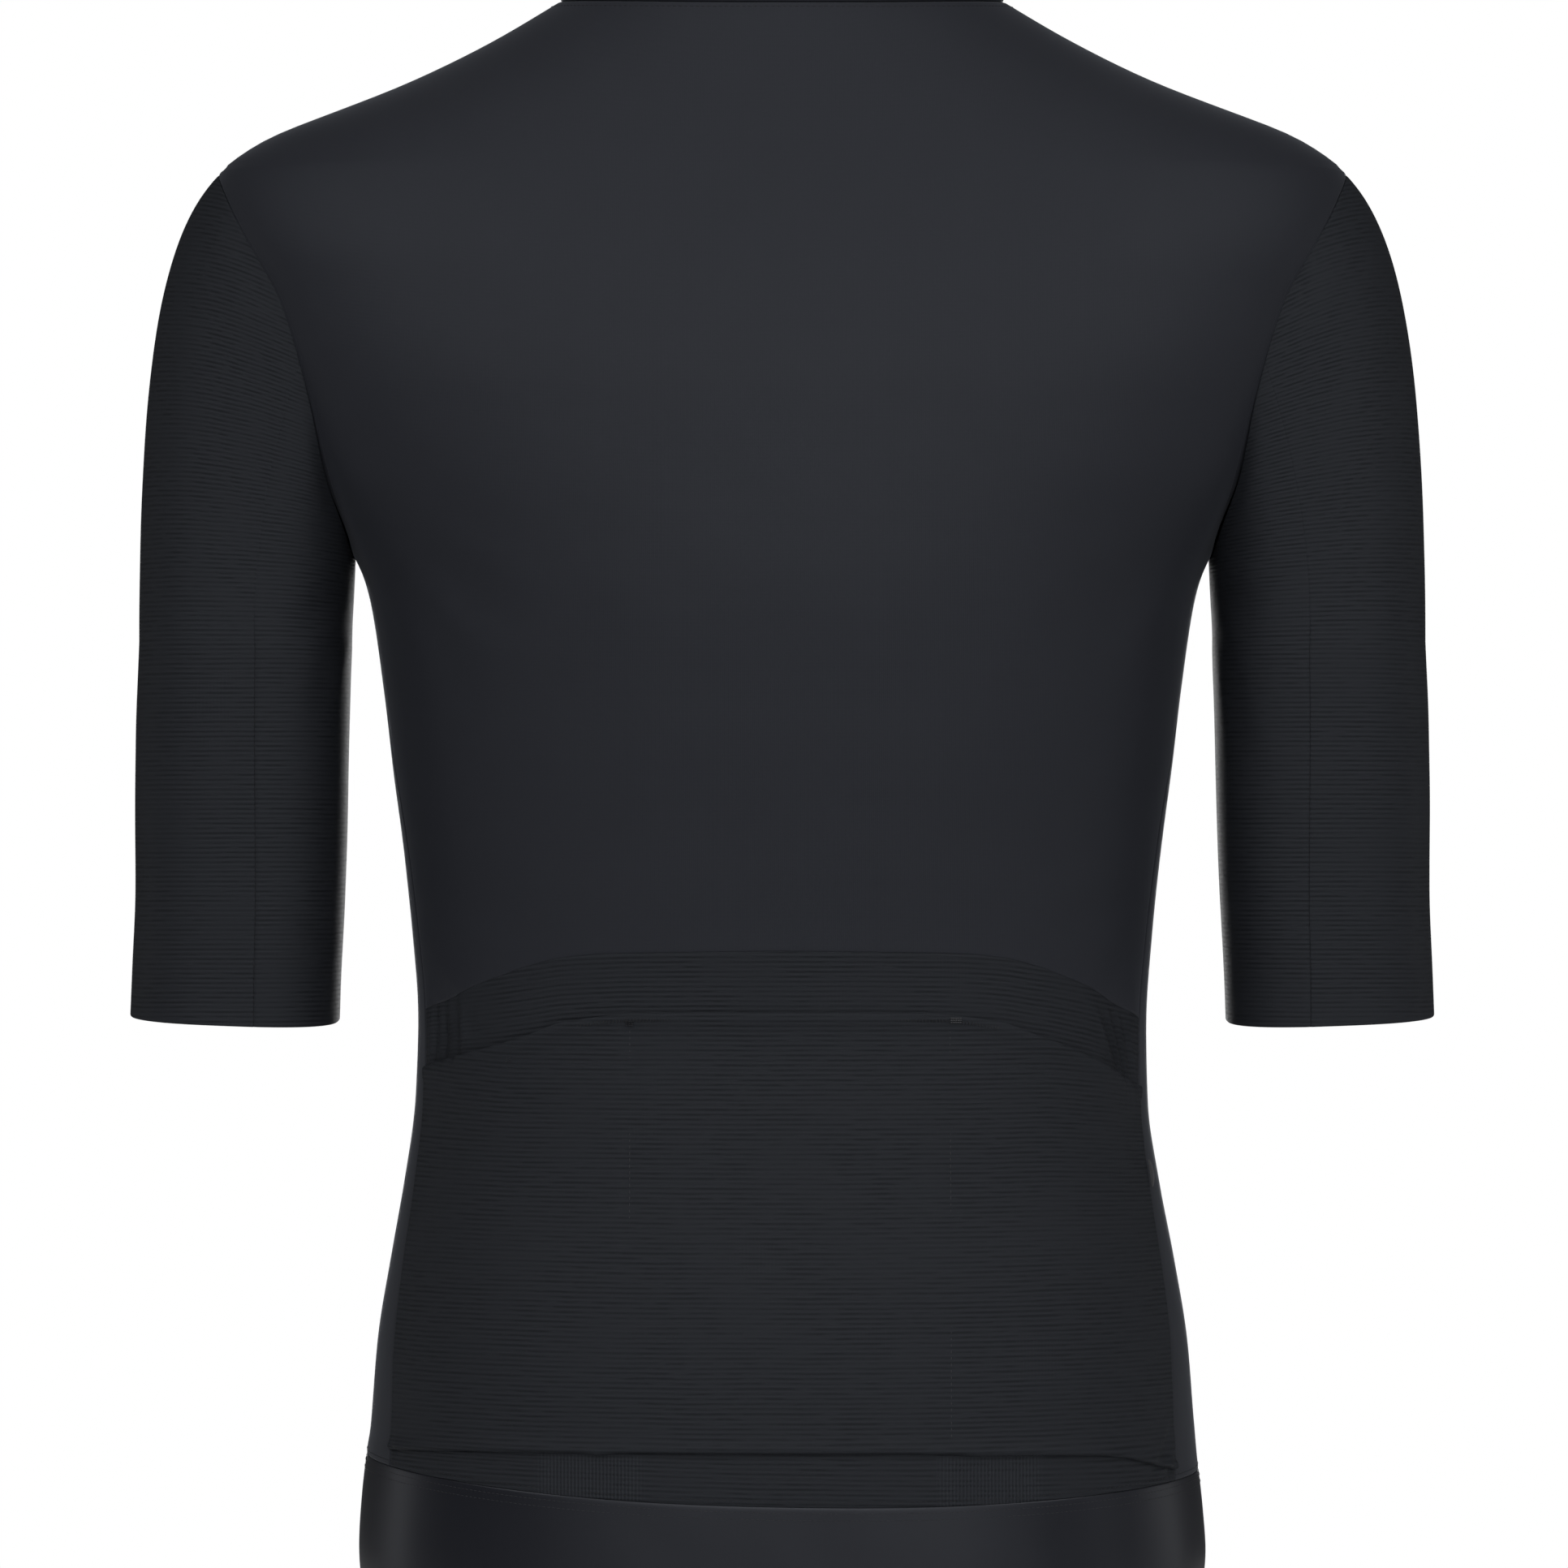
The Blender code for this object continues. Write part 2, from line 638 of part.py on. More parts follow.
def zip_edge_angle(height, x=ZIP_EDGE_X):
    return np.abs(angle_at_x(np.full(np.shape(height), x), height, True))


def front_rows():
    """Heights of the rows of a front cloth along its side edge and along the zip, from the hem band up."""
    heights, _, edge = side_edges()
    foot = float(band_top(side_seam(BAND_TOP_SIDE)))
    low = np.linspace(foot, heights[0], LOWER_ROWS + 1)[:-1]
    outer = np.concatenate([low, heights])
    angle = np.concatenate([side_seam(low), edge])
    top = float(NECK_FRONT[-1][0])
    knee = len(low) + SIDE_ROWS
    rise = np.linspace(0.0, 1.0, len(outer) - knee)
    zipped = outer.copy()
    zipped[knee:] = ARMPIT_Z + (top - ARMPIT_Z) * rise
    blend = np.concatenate([np.zeros(knee), rise**2])
    return outer, angle, zipped, blend


def front_grid():
    """Angles and heights of a front cloth's points, from its side edge to the zip."""
    outer, edge, zipped, blend = front_rows()
    even = np.linspace(0.0, 1.0, FRONT_STEPS + 1)
    neck_turn, neck_level = neck_front_grid(even)
    neck_turn = (neck_turn - neck_turn[0]) / (neck_turn[-1] - neck_turn[0])
    neck_level = (neck_level - neck_level[0]) / (neck_level[-1] - neck_level[0])
    first = edge + turn_for(SEAM_GAP / 2, edge, outer)
    last = zip_edge_angle(zipped)
    across = even[None, :] * (1 - blend[:, None]) + neck_turn[None, :] * blend[:, None]
    down = even[None, :] ** 2 * (1 - blend[:, None]) + neck_level[None, :] * blend[:, None]
    angles = first[:, None] + (last - first)[:, None] * across
    levels = outer[:, None] + (zipped - outer)[:, None] * down
    foot_fade = np.clip((ARMPIT_Z - outer) / (ARMPIT_Z - outer[0]), 0.0, 1.0)[:, None] ** 2
    bow = band_top(angles)
    levels = levels + (bow - bow[:, :1]) * foot_fade
    levels[0] += SEAM_GAP / 2
    return angles, levels


def make_front(name, side):
    angles, levels = front_grid()
    return body_wall(name, side * angles, levels, KNIT_WALL, "smooth_knit", edges=[(0, side, True)])


def make_hem_band():
    """One band all round from zip edge to zip edge; its points stand under those of the cloths above it."""
    behind = lower_grid()[0][0]
    before = front_grid()[0][0]
    seam = (behind[-1] + before[0]) / 2
    left = np.concatenate([[seam], before[1:]])
    angles = np.concatenate([-left[::-1], behind[1:-1], left])[None, :]
    drop = np.array([BAND_DEEP, BAND_DEEP * 0.6, BAND_DEEP * 0.25, SEAM_GAP / 2])[:, None]
    levels = band_top(angles) - drop
    angles = np.repeat(angles, len(drop), axis=0)
    for j in (0, -1):
        angles[:, j] = np.sign(angles[:, j]) * zip_edge_angle(levels[:, j])
    return body_wall("hem_band", angles, levels, BAND_WALL, "elastic_band")


# Collar


def neck_seam():
    """Points of the whole neck seam, from the zip round the right side and the back."""
    angles, levels = upper_grid()
    behind = body_point(angles[-1, 1:-1], levels[-1, 1:-1])
    angles, levels = front_grid()
    shoulder = body_point(SHOULDER_SEAM_ANGLE, NECK_SIDE_Z)[None, :]
    left = np.concatenate([shoulder, body_point(angles[-1, 1:], levels[-1, 1:])])
    right = left[::-1] * np.array([-1.0, 1.0, 1.0])
    return np.concatenate([right, behind, left])


def collar_point(foot, share):
    """A point up the collar's stand from a point of the neck seam."""
    back = np.clip(0.5 + foot[..., 1] / 120.0, 0.0, 1.0)
    stand = COLLAR_STAND_FRONT + (COLLAR_STAND_BACK - COLLAR_STAND_FRONT) * back
    shift = COLLAR_BACK_FRONT + (-COLLAR_FORWARD_BACK - COLLAR_BACK_FRONT) * back
    width = 1.0 - (1.0 - COLLAR_NARROWS) * share * np.clip(np.abs(foot[..., 0]) / 30.0, 0.0, 1.0)
    x = foot[..., 0] * width
    y = foot[..., 1] * (1.0 - (1.0 - COLLAR_NARROWS) * share) + shift * share
    return np.stack([x, y, foot[..., 2] + stand * share], axis=-1)


def grid_normals(points):
    across = np.gradient(points, axis=1)
    up = np.gradient(points, axis=0)
    return unit(np.cross(across, up))


def make_collar():
    foot = neck_seam()
    stands = np.array([SEAM_GAP * 1.4 / COLLAR_STAND_BACK, 0.35, 0.7, 1.0])
    outer = np.array([collar_point(foot, share) for share in stands])
    away = grid_normals(outer)
    away = away * np.sign((away[..., 1] * outer[..., 1]).sum())
    return wall("collar", outer, outer - COLLAR_WALL * away, "smooth_knit")


# Zip


def neck_foot(x):
    """The point of the front neck seam this far from the middle."""
    reach = max(abs(x), ZIP_EDGE_X)
    level = float(smooth_curve([row[1] for row in NECK_FRONT], [row[0] for row in NECK_FRONT])(reach))
    point = body_point(zip_edge_angle(np.array(level), reach), level)
    point[0] = x
    return point


def zip_line(heights, x):
    """Points of the front x from its middle at these heights, and up the collar above the neck seam."""
    top = float(NECK_FRONT[-1][0])
    on_body = heights[heights <= top]
    on_collar = heights[heights > top]
    turn = np.sign(x) * zip_edge_angle(on_body, abs(x)) if x else 180.0 + 0 * on_body
    foot = neck_foot(x)
    shares = (on_collar - top) / COLLAR_STAND_FRONT
    collar = [collar_point(foot, share) for share in shares]
    return np.concatenate([body_point(turn, on_body), np.array(collar).reshape(-1, 3)])


def zip_heights(top):
    low = float(band_top(180.0)) - BAND_DEEP + 1.0
    neck = float(NECK_FRONT[-1][0])
    below = np.linspace(low, neck, 26)
    above = np.linspace(neck, top, 4)[1:]
    return np.concatenate([below, above])


def strip(name, xs, heights, high, low, finish):
    """A flat strip up the front's middle. high and low say how far its faces stand out of the cloth."""
    points = np.stack([zip_line(heights, x) for x in xs], axis=1)
    away = grid_normals(points)
    away = away * np.where(away[..., 1:2] > 0, -1.0, 1.0)
    return wall(name, points + high * away, points + low * away, finish)


def collar_front_top():
    return float(NECK_FRONT[-1][0]) + COLLAR_STAND_FRONT


def slider_frame():
    """The slider's middle on the cloth, with the directions down the zip and out of the cloth."""
    level = collar_front_top() - SLIDER_BELOW_TOP
    above, below = zip_line(np.array([level + 4.0, level - 4.0]), 0.0)
    down = unit(below - above)
    out = np.array([0.0, down[2], -down[1]])
    return (above + below) / 2, down, out


def prism(name, outline, half_wide, frame, finish):
    """A body with this flat outline seen from the side, and half_wide to each side across X."""
    middle, down, out = frame
    outline = [np.asarray(p, float) for p in outline]
    count = len(outline)
    points, faces = [], []
    for x in (-half_wide, half_wide):
        for along, high in outline:
            points.append(middle + np.array([x, 0.0, 0.0]) + along * down + high * out)
    faces += [tuple(range(count - 1, -1, -1)), tuple(range(count, 2 * count))]
    faces += [(i, (i + 1) % count, count + (i + 1) % count, count + i) for i in range(count)]
    thing = new_piece(name, points, faces, finish)
    face_out(thing)
    return thing


def circle(middle, radius, steps):
    turns = np.arange(steps) * (2.0 * math.pi / steps)
    return [(middle[0] + radius * math.cos(t), middle[1] + radius * math.sin(t)) for t in turns]


def join(base, others, operation="UNION"):
    """Joins or cuts bodies exactly, and leaves only the first."""
    for other in others:
        change = base.modifiers.new("join", "BOOLEAN")
        change.operation = operation
        change.solver = "EXACT"
        change.object = other
        bpy.context.view_layer.update()
        graph = bpy.context.evaluated_depsgraph_get()
        mesh = bpy.data.meshes.new_from_object(base.evaluated_get(graph))
        base.modifiers.clear()
        base.data = mesh
        bpy.data.objects.remove(other, do_unlink=True)
    return base


def rectangle(along_from, along_to, low, high):
    return [(along_from, low), (along_to, low), (along_to, high), (along_from, high)]


def make_slider():
    frame = slider_frame()
    long = PLATE_HALF_LONG
    nose = [(-long, PLATE_LOW), (long, PLATE_LOW), (long, PLATE_HIGH - 0.4), (long - 0.6, PLATE_HIGH)]
    nose += [(-long + 0.6, PLATE_HIGH), (-long, PLATE_HIGH - 0.4)]
    body = prism("zip_slider", nose, PLATE_HALF_WIDE, frame, "zip_metal")
    core = rectangle(-long + 1.0, long - 1.0, -CORE_DEEP, PLATE_LOW + 0.3)
    parts = [prism("core", core, CORE_HALF_WIDE, frame, "zip_metal")]
    top = PIN_HIGH + LUG_OVER_PIN
    lug = rectangle(PIN_ALONG - LUG_HALF_LONG, PIN_ALONG + LUG_HALF_LONG, PLATE_HIGH - 0.3, top)
    for side in (-1.0, 1.0):
        shift = side * (PIN_HALF - LUG_THICK / 2 + 0.2)
        moved = (frame[0] + np.array([shift, 0.0, 0.0]), frame[1], frame[2])
        parts.append(prism("lug", lug, LUG_THICK / 2, moved, "zip_metal"))
    pin = circle((PIN_ALONG, PIN_HIGH), PIN_RADIUS, 12)
    parts.append(prism("pin", pin, PIN_HALF - 0.1, frame, "zip_metal"))
    return join(body, parts)


def make_pull():
    """The pull hangs from the slider's pin. Its origin is on the pin's axis, which it turns about."""
    middle, down, out = slider_frame()
    pin = middle + PIN_ALONG * down + PIN_HIGH * out
    turn = math.radians(PULL_TILT)
    hang = down * math.cos(turn) - out * math.sin(turn)
    face = out * math.cos(turn) + down * math.sin(turn)
    frame = (pin, hang, face)
    half = TAB_THICK / 2
    eye = prism("zip_pull", circle((0.0, 0.0), EYE_OUTER, 20), EYE_HALF_WIDE, frame, "zip_metal")
    bore = prism("bore", circle((0.0, 0.0), EYE_INNER, 16), EYE_HALF_WIDE + 1.0, frame, "zip_metal")
    join(eye, [bore], "DIFFERENCE")
    neck = rectangle(EYE_INNER + 0.25, 6.5, -half * 0.9, half * 0.9)
    tab = rectangle(5.5, TAB_LONG, -half, half)
    join(eye, [prism("neck", neck, EYE_HALF_WIDE - 0.2, frame, "zip_metal")])
    join(eye, [prism("tab", tab, TAB_HALF_WIDE, frame, "zip_metal")])
    at = pin * MM
    for vertex in eye.data.vertices:
        vertex.co = vertex.co - type(vertex.co)(at)
    eye.location = at
    return eye


# Side tab


def make_side_tab():
    """A narrow tape folded in two, which stands out of the right side seam."""
    heights = np.linspace(TAB_FOOT_Z, TAB_TOP_Z, 7)
    seam = -side_seam(heights)
    face, away = body_point(seam, heights), body_normal(seam, heights)
    around = unit(body_point(seam - 1.0, heights) - body_point(seam, heights))
    middle = (heights[0] + heights[-1]) / 2
    rise = TAB_STANDS * (1.0 - (np.abs(heights - middle) / (heights[-1] - middle)) ** 2.5 * 0.75)
    outer, inner = [], []
    for share in (0.0, 0.5, 1.0):
        lift = (POCKET_WALL + 2 * LAYER_GAP + 0.1 + share * rise)[:, None]
        outer.append(face + away * lift + around * TAB_LAYER / 2)
        inner.append(face + away * lift - around * TAB_LAYER / 2)
    return wall("side_tab", np.array(outer), np.array(inner), "pale_tape")


def main():
    for thing in list(bpy.data.objects):
        bpy.data.objects.remove(thing, do_unlink=True)
    for name, (colour, rough, metal) in FINISHES.items():
        material = bpy.data.materials.new(name)
        material.use_nodes = True
        shader = material.node_tree.nodes["Principled BSDF"]
        shader.inputs["Base Color"].default_value = (*colour, 1.0)
        shader.inputs["Roughness"].default_value = rough
        shader.inputs["Metallic"].default_value = metal

    make_back_upper()
    make_back_lower()
    make_pocket_panel()
    make_front("front_left", 1.0)
    make_front("front_right", -1.0)
    make_sleeve("sleeve_left", 1.0)
    make_sleeve("sleeve_right", -1.0)
    make_hem_band()
    make_collar()
    top = collar_front_top()
    coil_top = top - SLIDER_BELOW_TOP - PLATE_HALF_LONG + 0.6
    strip("zip_chain", (-COIL_HALF, 0.0, COIL_HALF), zip_heights(coil_top), COIL_OUT, -COIL_IN, "zip_coil")
    for name, side in (("zip_tape_left", 1.0), ("zip_tape_right", -1.0)):
        xs = [side * x for x in (TAPE_FROM_X, TAPE_TO_X / 2, TAPE_TO_X)]
        strip(name, xs, zip_heights(top - 1.0), -TAPE_DEEP, -TAPE_DEEP - TAPE_WALL, "zip_tape_cloth")
    make_slider()
    make_pull()
    make_side_tab()


main()
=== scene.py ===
# %% [markdown]
# # A half-sleeved cycling jersey
# The jersey stands as if it were worn, with nobody in it. A rigid model of it already exists, with one
# closed wall for each cut piece of cloth. These cells dress that model: each wall is swapped for a thin
# shell of cloth on the same form, with rolled seams, folds, stitches and a knitted finish.
# %% Load the rigid model
import math

import bpy
import numpy as np
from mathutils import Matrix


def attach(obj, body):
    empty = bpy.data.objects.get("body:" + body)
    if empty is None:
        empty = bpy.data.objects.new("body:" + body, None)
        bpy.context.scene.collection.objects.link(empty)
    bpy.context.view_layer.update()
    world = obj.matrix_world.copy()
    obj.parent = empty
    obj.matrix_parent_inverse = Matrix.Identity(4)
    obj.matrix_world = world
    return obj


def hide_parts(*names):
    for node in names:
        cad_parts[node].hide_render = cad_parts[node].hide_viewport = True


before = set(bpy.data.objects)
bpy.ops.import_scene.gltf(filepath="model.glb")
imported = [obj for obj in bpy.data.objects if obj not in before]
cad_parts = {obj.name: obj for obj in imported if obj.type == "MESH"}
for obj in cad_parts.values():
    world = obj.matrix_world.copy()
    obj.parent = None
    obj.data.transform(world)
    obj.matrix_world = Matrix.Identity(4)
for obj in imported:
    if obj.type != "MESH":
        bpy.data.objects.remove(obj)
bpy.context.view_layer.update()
MM = 0.001

# %% [markdown]
# ## Sizes
# A maker drafts a jersey from a few lines: the shoulder, the side, the sleeve seam, and how deep the body
# is at each height. The same tables drive the rigid model, so the cloth lands on it with no fitting. They
# hold millimetres. The front faces -Y, +Z is up, and an angle goes round the body from the middle of the
# back.
# %% Cloth and seams
# The pocket cloth's wall, and the gap between it and the lower back
POCKET_WALL, LAYER_GAP = 1.2, 0.30

# Heights that the pieces share
SHOULDER_Z, ARMPIT_Z, BICEP_Z = -73.0, -234.0, -270.0
ARMHOLE_MIDDLE_Z, ARMHOLE_HALF_TALL = (SHOULDER_Z + ARMPIT_Z) / 2, (SHOULDER_Z - ARMPIT_Z) / 2
BAND_DEEP = 46.0
# How widely the body's outline is averaged, so that it has no corners
EASE_REACH = 3
print("the armhole is", SHOULDER_Z - ARMPIT_Z, "mm tall")

# %% [markdown]
# The shoulder line gives half the width from the neck to the sleeve seam, and the side line from the armpit
# to the hem. The depth table says how far the cloth stands behind and in front of the middle, and how
# square a ring is.
# %% Outline of the body
# Height and half width, along the shoulders from the neck to the sleeve seam and along the sides to the hem
SHOULDER_LINE = [
    (0, 91.3), (-17, 119.5), (-34, 153.3), (-50, 194), (-57.5, 213.5), (-64, 224.5), (-70, 232.8),
    (-73, 236.5),
]
SIDE_LINE = [
    (-234, 179), (-241, 175.6), (-255, 172), (-289, 167), (-323, 162.8), (-357, 158.1), (-391, 154.5),
    (-425, 152.2), (-459, 153.3), (-493, 158.1), (-527, 164.2), (-561, 169.5), (-595, 172),
    (-629, 175.8), (-648, 177), (-668, 175.2),
]

# How far the cloth stands behind and in front of the middle plane, and how square its rings are
BODY_DEPTH = [
    # height, back, front, roundness
    (6, 46, 33, 2.05),
    (0, 50, 38, 2.05),
    (-10, 57, 48, 2.08),
    (-25, 66, 61, 2.12),
    (-40, 73.5, 71, 2.16),
    (-54, 80, 79, 2.20),
    (-80, 91, 91, 2.26),
    (-120, 103, 103, 2.30),
    (-170, 111, 113, 2.30),
    (-233, 113, 118, 2.30),
    (-300, 107, 117, 2.30),
    (-360, 98, 111, 2.30),
    (-420, 91, 105, 2.30),
    (-480, 95, 104, 2.30),
    (-540, 105, 107, 2.30),
    (-600, 113, 110, 2.30),
    (-670, 115, 111, 2.30),
]
print(len(SHOULDER_LINE) + len(SIDE_LINE), "points of the outline and", len(BODY_DEPTH), "depths")

# %% [markdown]
# The seams: the armhole oval, the bowed seam where the smooth back meets the ribs, the mouth and foot of
# the pockets, the side seams and the neck.
# %% Where the seams run
# The sleeve seam: height and distance from the middle, and how deep its oval is
ARMHOLE_LINE = [
    (-73, 236.5), (-91.5, 228), (-106.4, 219.7), (-129.6, 206.7), (-171, 194.2), (-203, 187.5),
    (-223, 181.2), (-234, 179),
]
ARMHOLE_BACK, ARMHOLE_FRONT = 58.0, 65.0

# Angle and height of the seams that run round the body
BOWED_SEAM = [
    (0, -396.3), (24, -397.5), (33, -399.5), (39, -402.5), (47, -407.5), (53, -411), (62, -417),
    (73, -421.5), (80, -424.5),
]
POCKET_MOUTH = [
    (0, -421.5), (20, -422), (33, -425.8), (39, -430.5), (53, -439), (73, -448.5), (80, -451.5),
]
# Height and angle of the side seam
SIDE_SEAM_LINE = [
    (-234, 90), (-283, 86.5), (-340, 79), (-425, 75), (-520, 71), (-612, 67), (-660, 66),
]
POCKET_FOOT_MID, POCKET_FOOT_SIDE = -598.5, -605.5
BAND_TOP_BACK, BAND_TOP_SIDE, BAND_TOP_FRONT = -620.0, -611.0, -584.0
SHOULDER_SEAM_ANGLE = 97.0

# The cloth sits a little askew: how far it stands above or below its drafted height, at the ends of a row and
# 150 mm from the middle
ASKEW_TABLE = [
    # height, left_end, right_end, across
    (6, 0, 0, 0),
    (-392, 0, 0, 0),
    (-425, 0.6, -3, 0),
    (-447, 2.6, -4.6, 0),
    (-480, 0.6, -2.4, 0),
    (-530, 0, 0, 0),
    (-596, 0, 0, 0),
    (-609, 0, 0, 2.8),
    (-622, 0, 0, 2.8),
    (-664, 0, 0, 0),
    (-680, 0, 0, 0),
]
ASKEW_FROM_X, ASKEW_REACH, ASKEW_ARM = 108.0, 36.0, 150.0

# The neck seam: it dips a little behind, and runs down the front to the zip, here as height and half width
NECK_BACK_DIP, NECK_SIDE_Z = -6.5, -1.0
NECK_FRONT = [
    (-1.5, 92.4), (-5, 88), (-10, 80), (-17, 71), (-25, 60), (-33, 48), (-41, 35), (-48, 20), (-52, 9),
    (-53.5, 3.4),
]
NECK_FRONT_Z = NECK_FRONT[-1][0]
COLLAR_STAND_BACK, COLLAR_STAND_FRONT = 37.0, 33.0
COLLAR_NARROWS = 0.93
COLLAR_FORWARD_BACK, COLLAR_BACK_FRONT = 3.0, 5.5
print("the pocket is", POCKET_MOUTH[0][1] - POCKET_FOOT_MID, "mm deep")

# %% [markdown]
# The sleeves, the zip and the side tab.
# %% Sleeves, zip and tab
# Sleeve rings below the armhole
SLEEVE_RINGS = [
    # height, outer edge, inner edge, back, front
    (-270, 268.6, 180.3, 50, -50),
    (-306, 270.2, 181.6, 48, -51.5),
    (-340, 271, 182.6, 45.5, -52.5),
    (-374, 271.2, 184, 43.5, -54),
    (-408, 272.7, 185.8, 41, -55),
    (-426.4, 273.4, 186.4, 40, -56),
]
SLEEVE_ROUNDNESS = 2.6
SLEEVE_TILT_OUT, SLEEVE_TILT_FORWARD = 0.036, -0.045
# The cap's curve: how long its arms are at the armhole and at the ring, above and under the arm
CAP_REACH_TOP, CAP_REACH_UNDER, CAP_RISE_TOP, CAP_RISE_UNDER = 0.195, 0.34, 0.525, 0.30
CAP_OUTWARD, CAP_BACKWARD = 0.70, 0.10

# The zip: the fronts' edges, its two tapes behind them, and where its slider stands
ZIP_EDGE_X = 3.4
TAPE_FROM_X, TAPE_TO_X, TAPE_DEEP = 0.7, 13.0, 2.6
SLIDER_BELOW_TOP, PLATE_HALF_LONG = 6.5, 5.4

# The small folded tab in the right side seam
TAB_TOP_Z, TAB_FOOT_Z = -481.5, -493.5
TAB_LAYER = 1.1

# Left and right, seen by the wearer
SIDES = ((1.0, "left"), (-1.0, "right"))
print(len(SLEEVE_RINGS), "sleeve rings, and zip tapes", TAPE_TO_X - TAPE_FROM_X, "mm wide")

# %% [markdown]
# A curve through a handful of measured points is how a pattern cutter draws a side seam. This one never
# swings past its points, so a waist stays as slim as it was drafted and no bump appears between two sizes.
# %% Curves through the tables
def smooth_curve(xs, ys):
    """A curve through the points (xs, ys) that never overshoots them, and goes on straight past its ends."""
    order = np.argsort(xs)
    xs = np.asarray(xs, float)[order]
    ys = np.asarray(ys, float)[order]
    gaps = np.diff(xs)
    rises = np.diff(ys) / gaps
    slopes = np.empty_like(xs)
    slopes[0], slopes[-1] = rises[0], rises[-1]
    for i in range(1, len(xs) - 1):
        before, after = rises[i - 1], rises[i]
        slopes[i] = 0.0 if before * after <= 0 else 2.0 * before * after / (before + after)

    def at(x):
        x = np.asarray(x, float)
        i = np.clip(np.searchsorted(xs, x) - 1, 0, len(gaps) - 1)
        t = (x - xs[i]) / gaps[i]
        inside = np.clip(t, 0.0, 1.0)
        a = (1 + 2 * inside) * (1 - inside) ** 2
        b = inside * (1 - inside) ** 2
        c = inside**2 * (3 - 2 * inside)
        d = inside**2 * (inside - 1)
        y = a * ys[i] + b * gaps[i] * slopes[i] + c * ys[i + 1] + d * gaps[i] * slopes[i + 1]
        past = (t - inside) * gaps[i]
        return y + past * np.where(t < 0, slopes[0], slopes[-1])

    return at


def curves(table):
    """Each column of the table after its first, as a curve over the first."""
    first, *others = zip(*table)
    return [smooth_curve(first, other) for other in others]


[shoulder_half], [side_half] = curves(SHOULDER_LINE), curves(SIDE_LINE)
back_depth, front_depth, roundness = curves(BODY_DEPTH)
[armhole_x], [side_seam] = curves(ARMHOLE_LINE), curves(SIDE_SEAM_LINE)
[bowed_seam], [pocket_mouth] = curves(BOWED_SEAM), curves(POCKET_MOUTH)
[neck_half], [neck_z] = curves(NECK_FRONT), curves([row[::-1] for row in NECK_FRONT])
askew_left, askew_right, askew_across = curves(ASKEW_TABLE)


def armhole_oval(height):
    """How full the armhole's oval is at this height: 0 at its top and foot, 1 half way."""
    return np.sqrt(np.clip(1.0 - ((height - ARMHOLE_MIDDLE_Z) / ARMHOLE_HALF_TALL) ** 2, 0.0, 1.0))


def drafted_half_width(height):
    """Half the body's width as drafted. Beside the armhole a ring is as wide as the armhole's oval needs."""
    n = roundness(height)
    share = (ARMHOLE_BACK * armhole_oval(height) / back_depth(height)) ** n
    beside_arm = armhole_x(height) / (1.0 - share) ** (1.0 / n)
    below = np.where(height < ARMPIT_Z, side_half(height), beside_arm)
    return np.where(height > SHOULDER_Z, shoulder_half(height), below)


def eased(curve, low, high, reach):
    """The curve with its corners rounded: each value is the average over a bell of this reach."""
    at = np.arange(low - 4 * reach, high + 4 * reach, 1.0)
    bell = np.exp(-0.5 * (np.arange(-3 * reach, 3 * reach + 1) / reach) ** 2)
    padded = np.pad(curve(at), len(bell) // 2, mode="reflect", reflect_type="odd")
    soft = np.convolve(padded, bell / bell.sum(), mode="valid")
    return lambda height: np.interp(height, at, soft)


half_width = eased(drafted_half_width, SIDE_LINE[-1][0], 6.0, EASE_REACH)


def askew(x, height):
    """How far the cloth stands above its drafted height."""
    near_end = np.clip((np.abs(x) - ASKEW_FROM_X) / ASKEW_REACH, 0.0, 1.15) ** 1.3
    ends = np.where(x > 0, askew_left(height), askew_right(height))
    return ends * near_end + askew_across(height) * x / ASKEW_ARM


def body_point(angle, height):
    """A point of the body's outer face."""
    angle, height = np.broadcast_arrays(np.asarray(angle, float), np.asarray(height, float))
    n = roundness(height)
    s, c = np.sin(np.radians(angle)), np.cos(np.radians(angle))
    x = half_width(height) * np.sign(s) * np.abs(s) ** (2 / n)
    depth = np.where(c > 0, back_depth(height), front_depth(height))
    y = depth * np.sign(c) * np.abs(c) ** (2 / n)
    return np.stack([x, y, height + askew(x, height)], axis=-1)


def unit(vectors):
    return vectors / np.linalg.norm(vectors, axis=-1, keepdims=True)


def body_normal(angle, height):
    """The direction out of the cloth, from points a little way round and a little way down."""
    step = 0.4
    around = body_point(angle + step, height) - body_point(angle - step, height)
    down = body_point(angle, height - step) - body_point(angle, height + step)
    return unit(np.cross(around, down))


def angle_at_x(x, height, front):
    """The angle whose point is x from the middle plane, on the back or on the front."""
    ratio = np.clip(np.abs(x) / half_width(height), 0.0, 1.0)
    angle = np.degrees(np.arcsin(ratio ** (roundness(height) / 2)))
    angle = 180.0 - angle if front else angle
    return np.sign(x) * angle


def turn_for(distance, angle, height):
    """How many degrees move a point this far round the body."""
    one_degree = body_point(angle + 0.5, height) - body_point(angle - 0.5, height)
    return distance / np.linalg.norm(one_degree, axis=-1)


def armhole_angle(height, front):
    """The angle of the sleeve seam at this height."""
    oval = armhole_oval(height)
    reach = ARMHOLE_FRONT if front else ARMHOLE_BACK
    depth = front_depth(height) if front else back_depth(height)
    angle = np.degrees(np.arccos((reach * oval / depth) ** (roundness(height) / 2)))
    return 180.0 - angle if front else angle


for label, height in (("chest", -233.0), ("waist", -425.0)):
    print("half the", label, "is", round(float(half_width(height)), 1), "mm wide")

